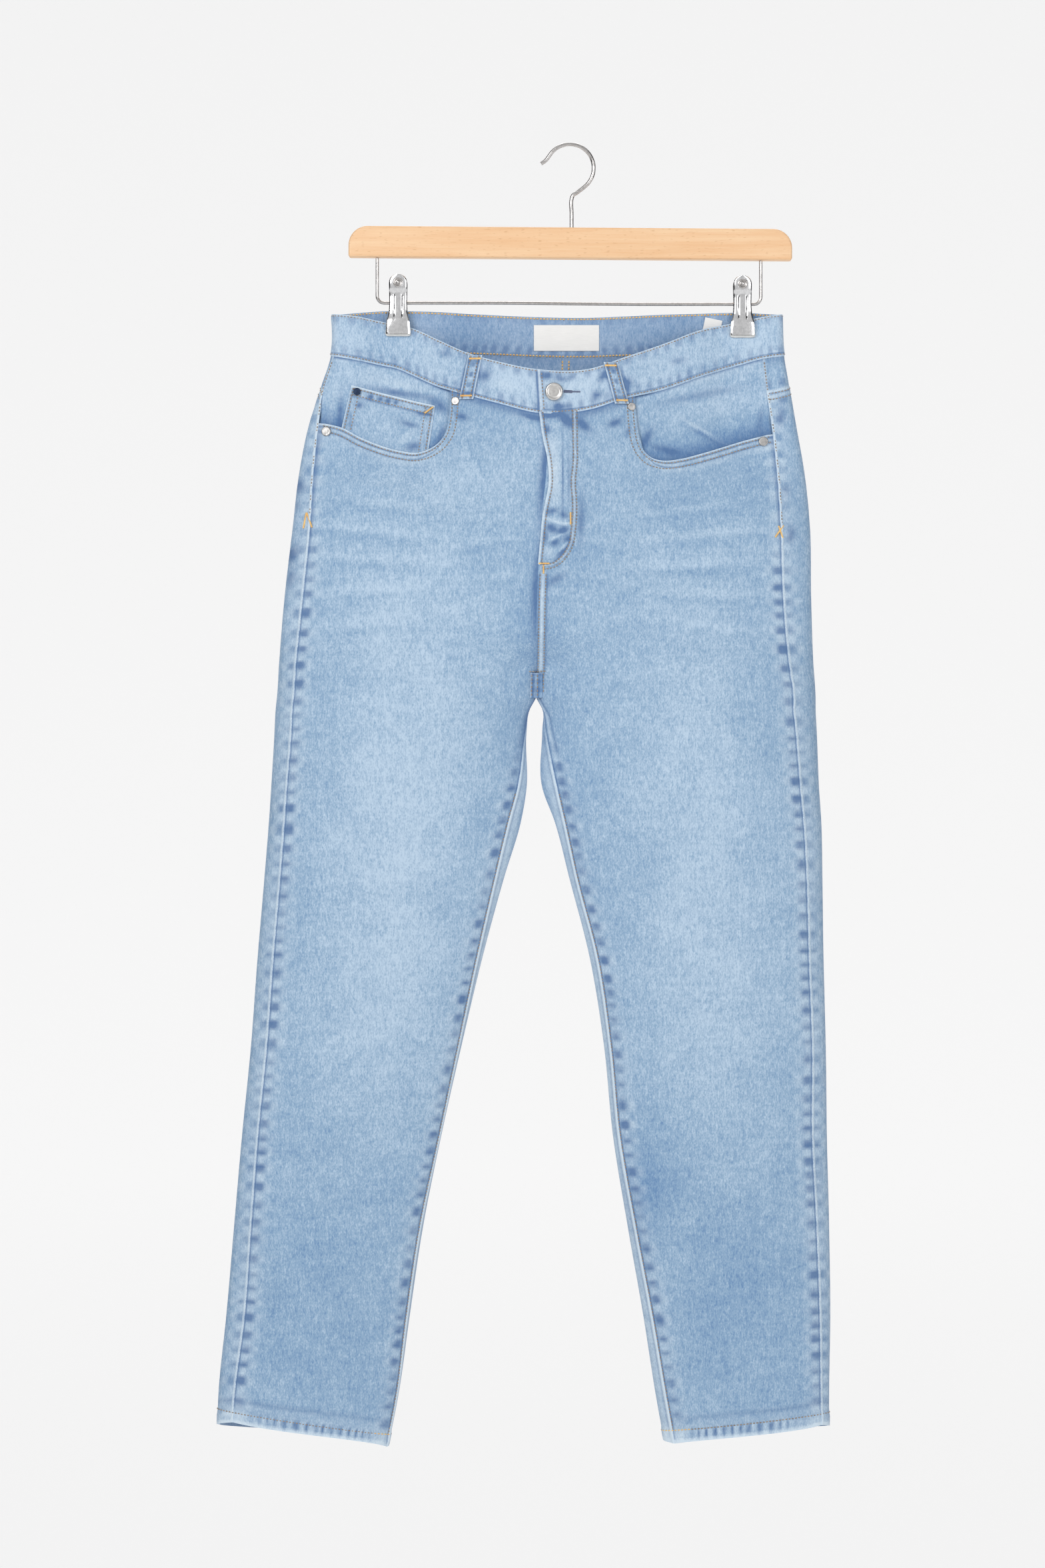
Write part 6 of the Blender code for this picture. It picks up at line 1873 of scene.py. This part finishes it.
BAR = {"length": 394.0, "height": 27.6, "thick": 13.0, "x": -0.6, "z": -86.6,
       "tilt_degrees": 0.43, "top_radius": 17.0, "low_radius": 2.2, "edge": 2.0}
BEECH = (0.850, 0.518, 0.280)
BEECH_PALE = (0.922, 0.642, 0.396)
BEECH_DEEP = (0.655, 0.350, 0.157)


def beech_finish():
    """Long fine grain along X, drawn out of noise, with darker flecks."""
    wood = Finish("beech")
    rings = wood.noise(wood.stretched((1.0, 6.0, 9.0)), 9.0, 3.0, 0.6)
    grain = wood.noise(wood.stretched((0.05, 1.0, 1.0)), 620.0, 3.0, 0.6)
    streak = wood.noise(wood.stretched((0.035, 1.0, 1.0)), 210.0, 2.0)
    fleck = wood.noise(wood.stretched((0.22, 1.0, 1.0)), 900.0, 0.0)
    paleness = (rings - 0.5) * 1.2 + (streak - 0.5) * 1.6 + (grain - 0.5) * 1.0 + 0.42
    base = wood.mix(paleness, BEECH, BEECH_PALE)
    colour = wood.mix(((fleck - 0.66) * 5.0).held() * 0.55, base, BEECH_DEEP)
    wood.set(Base_Color=colour, Roughness=grain * 0.15 + 0.40, Coat_Weight=0.10,
             Normal=wood.bump(grain * 0.7 + fleck * 0.3, 0.10, 0.0003))
    return wood.material


def bar_outline(inset):
    """The bar's outline with four round corners, drawn in by an inset."""
    half = BAR["length"] / 2 - inset
    tall = BAR["height"] / 2 - inset
    top_radius = BAR["top_radius"] - inset
    low_radius = BAR["low_radius"] - inset * 0.9
    corners = ((half, tall, top_radius, 0), (-half, tall, top_radius, 90),
               (-half, -tall, low_radius, 180), (half, -tall, low_radius, 270))
    line = []
    for corner_x, corner_z, radius, first in corners:
        turn = np.radians(first + np.linspace(0.0, 90.0, 18))
        line.append(np.stack([corner_x - math.copysign(radius, corner_x) + radius * np.cos(turn),
                              corner_z - math.copysign(radius, corner_z) + radius * np.sin(turn)], axis=-1))
    return np.concatenate(line)


def build_bar(paint):
    """Stack the outline through the thickness, drawn in by a quarter circle at each face."""
    depth = BAR["thick"] / 2
    edge = BAR["edge"]
    turn = np.linspace(0.0, PI / 2, 6)
    y = np.concatenate([-depth + edge - edge * np.cos(turn), depth - edge + edge * np.cos(turn[::-1])])
    inset = np.concatenate([edge - edge * np.sin(turn), edge - edge * np.sin(turn[::-1])])
    tilt = math.radians(BAR["tilt_degrees"])
    rings = []
    for depth_y, drawn in zip(y, inset):
        line = bar_outline(drawn)
        x = BAR["x"] + line[:, 0] * math.cos(tilt) + line[:, 1] * math.sin(tilt)
        z = BAR["z"] - line[:, 0] * math.sin(tilt) + line[:, 1] * math.cos(tilt)
        rings.append(np.stack([x, np.full(len(x), depth_y), z], axis=-1))
    count = len(rings[0])
    faces = [list(range(count)), list(range(len(rings) * count - 1, (len(rings) - 1) * count - 1, -1))]
    faces += np.roll(tube_faces(len(rings), count)[:, ::-1], 1, axis=1).tolist()
    return solid_piece("beech_bar", np.concatenate(rings), faces, paint, 40.0)


declare(build_bar(beech_finish()), "beech", "hanger_bar")


# Hook and rod
# Chromed wire: a swivelling hook let into the bar, and a thinner rod bent up at its ends, on which
# the clips slide.

HOOK = {"wire": 3.6, "x": -1.0, "radius": 21.2, "stem_x": 0.6, "stem_bottom": -72.45}
ROD = {"wire": 3.0, "left": -172.3, "right": 168.7, "left_z": -139.4, "right_z": -140.6, "bend": 6.0}
ROD_LEVEL = (2.0, 5.0, 12.0, 40.0, 100.0)
CHROME = (0.88, 0.88, 0.89)
CHROME_DULL = (0.62, 0.62, 0.63)
# The wire's plate is a darker copy of the chrome: painted shade for the dim reflections on thin wire
WIRE_BRIGHT = (0.62, 0.60, 0.59)
WIRE_DULL = (0.36, 0.345, 0.335)
WIRE_SIDES = 16


def swept_wire(name, line, diameter, paint, node):
    """Carry a circle along a flat path in X and Z; its ends are closed by shrinking rings."""
    path = smooth_line(line, 200)
    radius = np.full(len(path), diameter / 2)
    way = np.gradient(path, axis=0)
    way = way / np.linalg.norm(way, axis=1, keepdims=True)
    side = np.stack([-way[:, 1], way[:, 0]], axis=-1)
    turn = np.arange(WIRE_SIDES) * 2 * PI / WIRE_SIDES
    cap = np.array([0.0, 0.55, 0.85])
    path = np.concatenate([np.repeat(path[:1], 3, axis=0), path, np.repeat(path[-1:], 3, axis=0)])
    side = np.concatenate([np.repeat(side[:1], 3, axis=0), side, np.repeat(side[-1:], 3, axis=0)])
    radius = np.concatenate([cap * diameter / 2, radius, cap[::-1] * diameter / 2])
    x = path[:, None, 0] + side[:, None, 0] * np.cos(turn) * radius[:, None]
    z = path[:, None, 1] + side[:, None, 1] * np.cos(turn) * radius[:, None]
    y = np.sin(turn) * radius[:, None]
    points = np.stack([x, y, z], axis=-1)
    faces = tube_faces(len(path), WIRE_SIDES).tolist()
    piece = solid_piece(name, points, faces, paint, 50.0, mend=True)
    declare(piece, "chrome", node)
    return piece


chrome = metal_finish("chrome_plate", CHROME, CHROME_DULL, 0.06, 1400.0)
# The hook, the rod and the eyelets take the darker copy of the chrome: painted shade
wire_plate_shaded = metal_finish("wire_plate_shaded", WIRE_BRIGHT, WIRE_DULL, 0.10, 1400.0)
hook_centre = HOOK["wire"] / 2 - HOOK["radius"]
hook_line = [(HOOK["stem_x"], HOOK["stem_bottom"]), (HOOK["stem_x"], -60.0),
             (HOOK["stem_x"], hook_centre - 27.5), (1.6, hook_centre - 24.6), (5.5, hook_centre - 21.8)]
for degrees in np.arange(-52.0, 150.0, 8.0):
    turn = math.radians(degrees)
    hook_line.append((HOOK["x"] + HOOK["radius"] * math.cos(turn),
                      hook_centre + HOOK["radius"] * math.sin(turn)))
hook_end = hook_line[-1]
hook_line += [(hook_end[0] - 3.6, hook_end[1] - 4.6), (hook_end[0] - 7.6, hook_end[1] - 7.4)]
swept_wire("hook_wire", hook_line, HOOK["wire"], wire_plate_shaded, "hanger_hook")

rod_line = []
bar_low = BAR["z"] - BAR["height"] / 2
for side, low, first in (("left", "left_z", 180.0), ("right", "right_z", 270.0)):
    x, z = ROD[side], ROD[low]
    top = bar_low - (x - BAR["x"]) * math.tan(math.radians(BAR["tilt_degrees"])) - 0.35
    middle_x = x - math.copysign(ROD["bend"], x)
    turn = np.radians(first + np.linspace(0.0, 90.0, 9))
    bend = list(zip(middle_x + ROD["bend"] * np.cos(turn), z + ROD["bend"] + ROD["bend"] * np.sin(turn)))
    upright = [(x, top), (x, top - 12.0), (x, z + ROD["bend"] + 4.0)]
    level = [(middle_x - math.copysign(reach, x), z) for reach in ROD_LEVEL]
    rod_line += upright + bend + level if side == "left" else level[::-1] + bend + upright[::-1]
swept_wire("rod_wire", rod_line, ROD["wire"], wire_plate_shaded, "hanger_rod")


# Clips
# Each clip is two pressed and chromed plates with two grooves, an eyelet at the top, a coiled spring
# on the rod, and translucent rubber pads in the jaws.

CLIPS = {"right": (-153.6, -114.6), "left": (152.4, -115.8)}
CLIP_LINE = ((0.0, 6.4), (12.0, 5.8), (17.0, 4.7), (25.0, 4.7), (34.0, 5.6), (41.0, 7.4), (53.5, 7.4))
CLIP_WIDTH = ((0.0, 5.0), (0.7, 8.4), (1.8, 11.4), (3.4, 14.0), (5.6, 15.7), (8.0, 16.2),
              (25.0, 15.6), (33.0, 16.4), (38.0, 18.4), (41.0, 20.4), (52.0, 21.6), (53.0, 21.0))
CLIP_BOW = 0.8
CLIP_EYE_DROP = 7.2
CLIP_GROOVE = 3.6
PAD = {"top": 40.6, "height": 14.4, "top_width": 20.0, "low_width": 23.0, "thick": 2.2, "face": 4.4}
RUBBER = (0.78, 0.78, 0.76)
RUBBER_GREY = (0.52, 0.52, 0.51)
EYELET_LINE = ((0.0, 0.0), (4.3, 0.0), (4.5, 0.35), (4.2, 0.85), (3.6, 1.1), (3.0, 0.75), (2.7, 0.2),
               (1.9, 0.15), (1.7, 0.9), (1.2, 1.45), (0.0, 1.65))


def rubber_finish():
    """Milky rubber: a faint cloud, soft gloss."""
    milk = Finish("pad_rubber")
    cloud = milk.noise(milk.place(), 300.0, 3.0)
    colour = milk.mix((cloud - 0.5) * 1.6 + 0.35, RUBBER, RUBBER_GREY)
    milk.set(Base_Color=colour, Roughness=cloud * 0.2 + 0.30, Coat_Weight=0.25,
             Normal=milk.bump(cloud, 0.15, 0.0004))
    return milk.material


def clip_plate(half, face, paint):
    """A bowed plate along the clip's line, with two grooves pressed in and an edge turned back."""
    x, top = CLIPS[half]
    sign = -1.0 if face == "front" else 1.0
    drop = np.linspace(0.0, 53.0, 70)
    share = np.linspace(-0.5, 0.5, 38)
    line = smooth_line(CLIP_LINE, 200)
    out = np.interp(drop, line[:, 0], line[:, 1])
    width = np.interp(drop, *zip(*CLIP_WIDTH))
    across = width[:, None] * share
    pressed = smoothstep(15.0, 18.0, drop)[:, None] * (1.0 - smoothstep(39.0, 41.0, drop))[:, None]
    groove = sum(np.exp(-((across - side * CLIP_GROOVE) / 0.55) ** 2) for side in (-1.0, 1.0))
    eye = np.hypot(across, (drop - CLIP_EYE_DROP)[:, None])
    dish = 0.7 * (1.0 - smoothstep(3.4, 4.6, eye))
    rim = 0.9 * np.clip(np.abs(2 * share) - 0.86, 0.0, 1.0) / 0.14
    bow = CLIP_BOW * (1.0 - (2 * share) ** 2) - 0.55 * pressed * groove - dish - rim * 0.5
    z = np.broadcast_to((top - drop)[:, None], across.shape)
    points = np.stack([x + across, sign * (out[:, None] + bow), z], axis=-1)
    off = np.array([0.0, sign * 0.45, 0.0])
    plate = closed_wall("clip_plate_%s_%s" % (half, face), points + off, points - off, {}, paint)
    declare(plate, "chrome", "clip_%s_%s" % (half, face))


def clip_pad(half, face, paint):
    """A rubber pad, wider at its foot, round at its corners and edges."""
    x, top = CLIPS[half]
    sign = -1.0 if face == "front" else 1.0
    u = np.linspace(-1.0, 1.0, 34)
    v = np.linspace(0.0, 1.0, 26)[:, None]
    width = PAD["top_width"] + (PAD["low_width"] - PAD["top_width"]) * v ** 0.8
    corner = 1.0 - 0.10 * np.abs(2 * v - 1.0) ** 8
    px = x + u * width / 2 * corner
    pz = top - PAD["top"] - PAD["height"] * (v + (0.5 - v) * 0.06 * np.abs(u) ** 10)
    edge = np.minimum(1.0 - np.abs(u), np.minimum(v, 1.0 - v) * 1.3)
    thick = PAD["thick"] * (0.45 + 0.55 * np.sqrt(np.clip(edge / 0.12, 0.0, 1.0)))
    inner_y = np.full(px.shape, sign * PAD["face"])
    inner = np.stack([px, inner_y, pz], axis=-1)
    outer = inner + np.stack([0.0 * px, sign * thick, 0.0 * px], axis=-1)
    pad = closed_wall("clip_rubber_%s_%s" % (half, face), outer, inner, {}, paint)
    declare(pad, "pad", "clip_pad_%s_%s" % (half, face))


def clip_spring(half, paint):
    """A coil of steel wire round the rod: a circle carried along a helix."""
    x = CLIPS[half][0]
    share = (x - ROD["left"]) / (ROD["right"] - ROD["left"])
    z = ROD["left_z"] + share * (ROD["right_z"] - ROD["left_z"])
    turns = 7
    s = np.linspace(0.0, 1.0, turns * 22 + 1)
    turn = 2 * PI * turns * s
    centre = np.stack([x + (s - 0.5) * 8.2, 2.9 * np.cos(turn), z + 2.9 * np.sin(turn)], axis=-1)
    radial = np.stack([0.0 * s, np.cos(turn), np.sin(turn)], axis=-1)
    side = np.array([1.0, 0.0, 0.0])
    ring = np.arange(8) * 2 * PI / 8
    size = np.full(len(s), 0.58)
    size[[0, -1]] = 0.05
    round_wire = radial[:, None] * np.cos(ring)[:, None] + side * np.sin(ring)[:, None]
    points = centre[:, None] + round_wire * size[:, None, None]
    faces = tube_faces(len(s), 8).tolist()
    faces += [list(range(8)), list(range(len(s) * 8 - 1, len(s) * 8 - 9, -1))]
    coil = solid_piece("clip_coil_" + half, points, faces, paint, mend=True)
    declare(coil, "chrome", "clip_spring_" + half)


rubber = rubber_finish()
for half, (x, top) in CLIPS.items():
    for face, sign in (("front", -1.0), ("back", 1.0)):
        clip_plate(half, face, chrome)
        clip_pad(half, face, rubber)
        seat = np.interp(CLIP_EYE_DROP, *zip(*CLIP_LINE)) + 0.75
        turned("clip_eyelet_%s_%s" % (half, face), EYELET_LINE,
               np.array([x, sign * seat, top - CLIP_EYE_DROP]), np.array([0.0, sign, 0.0]), wire_plate_shaded,
               "chrome", "clip_rivet_%s_%s" % (half, face))
    clip_spring(half, chrome)


# Hidden pieces
# The zip strip and the fly shield lie behind the left front and keep their own solids.

for name in ("zip_strip", "fly_shield"):
    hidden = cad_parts[name]
    hidden.data.materials.clear()
    hidden.data.materials.append(denim)
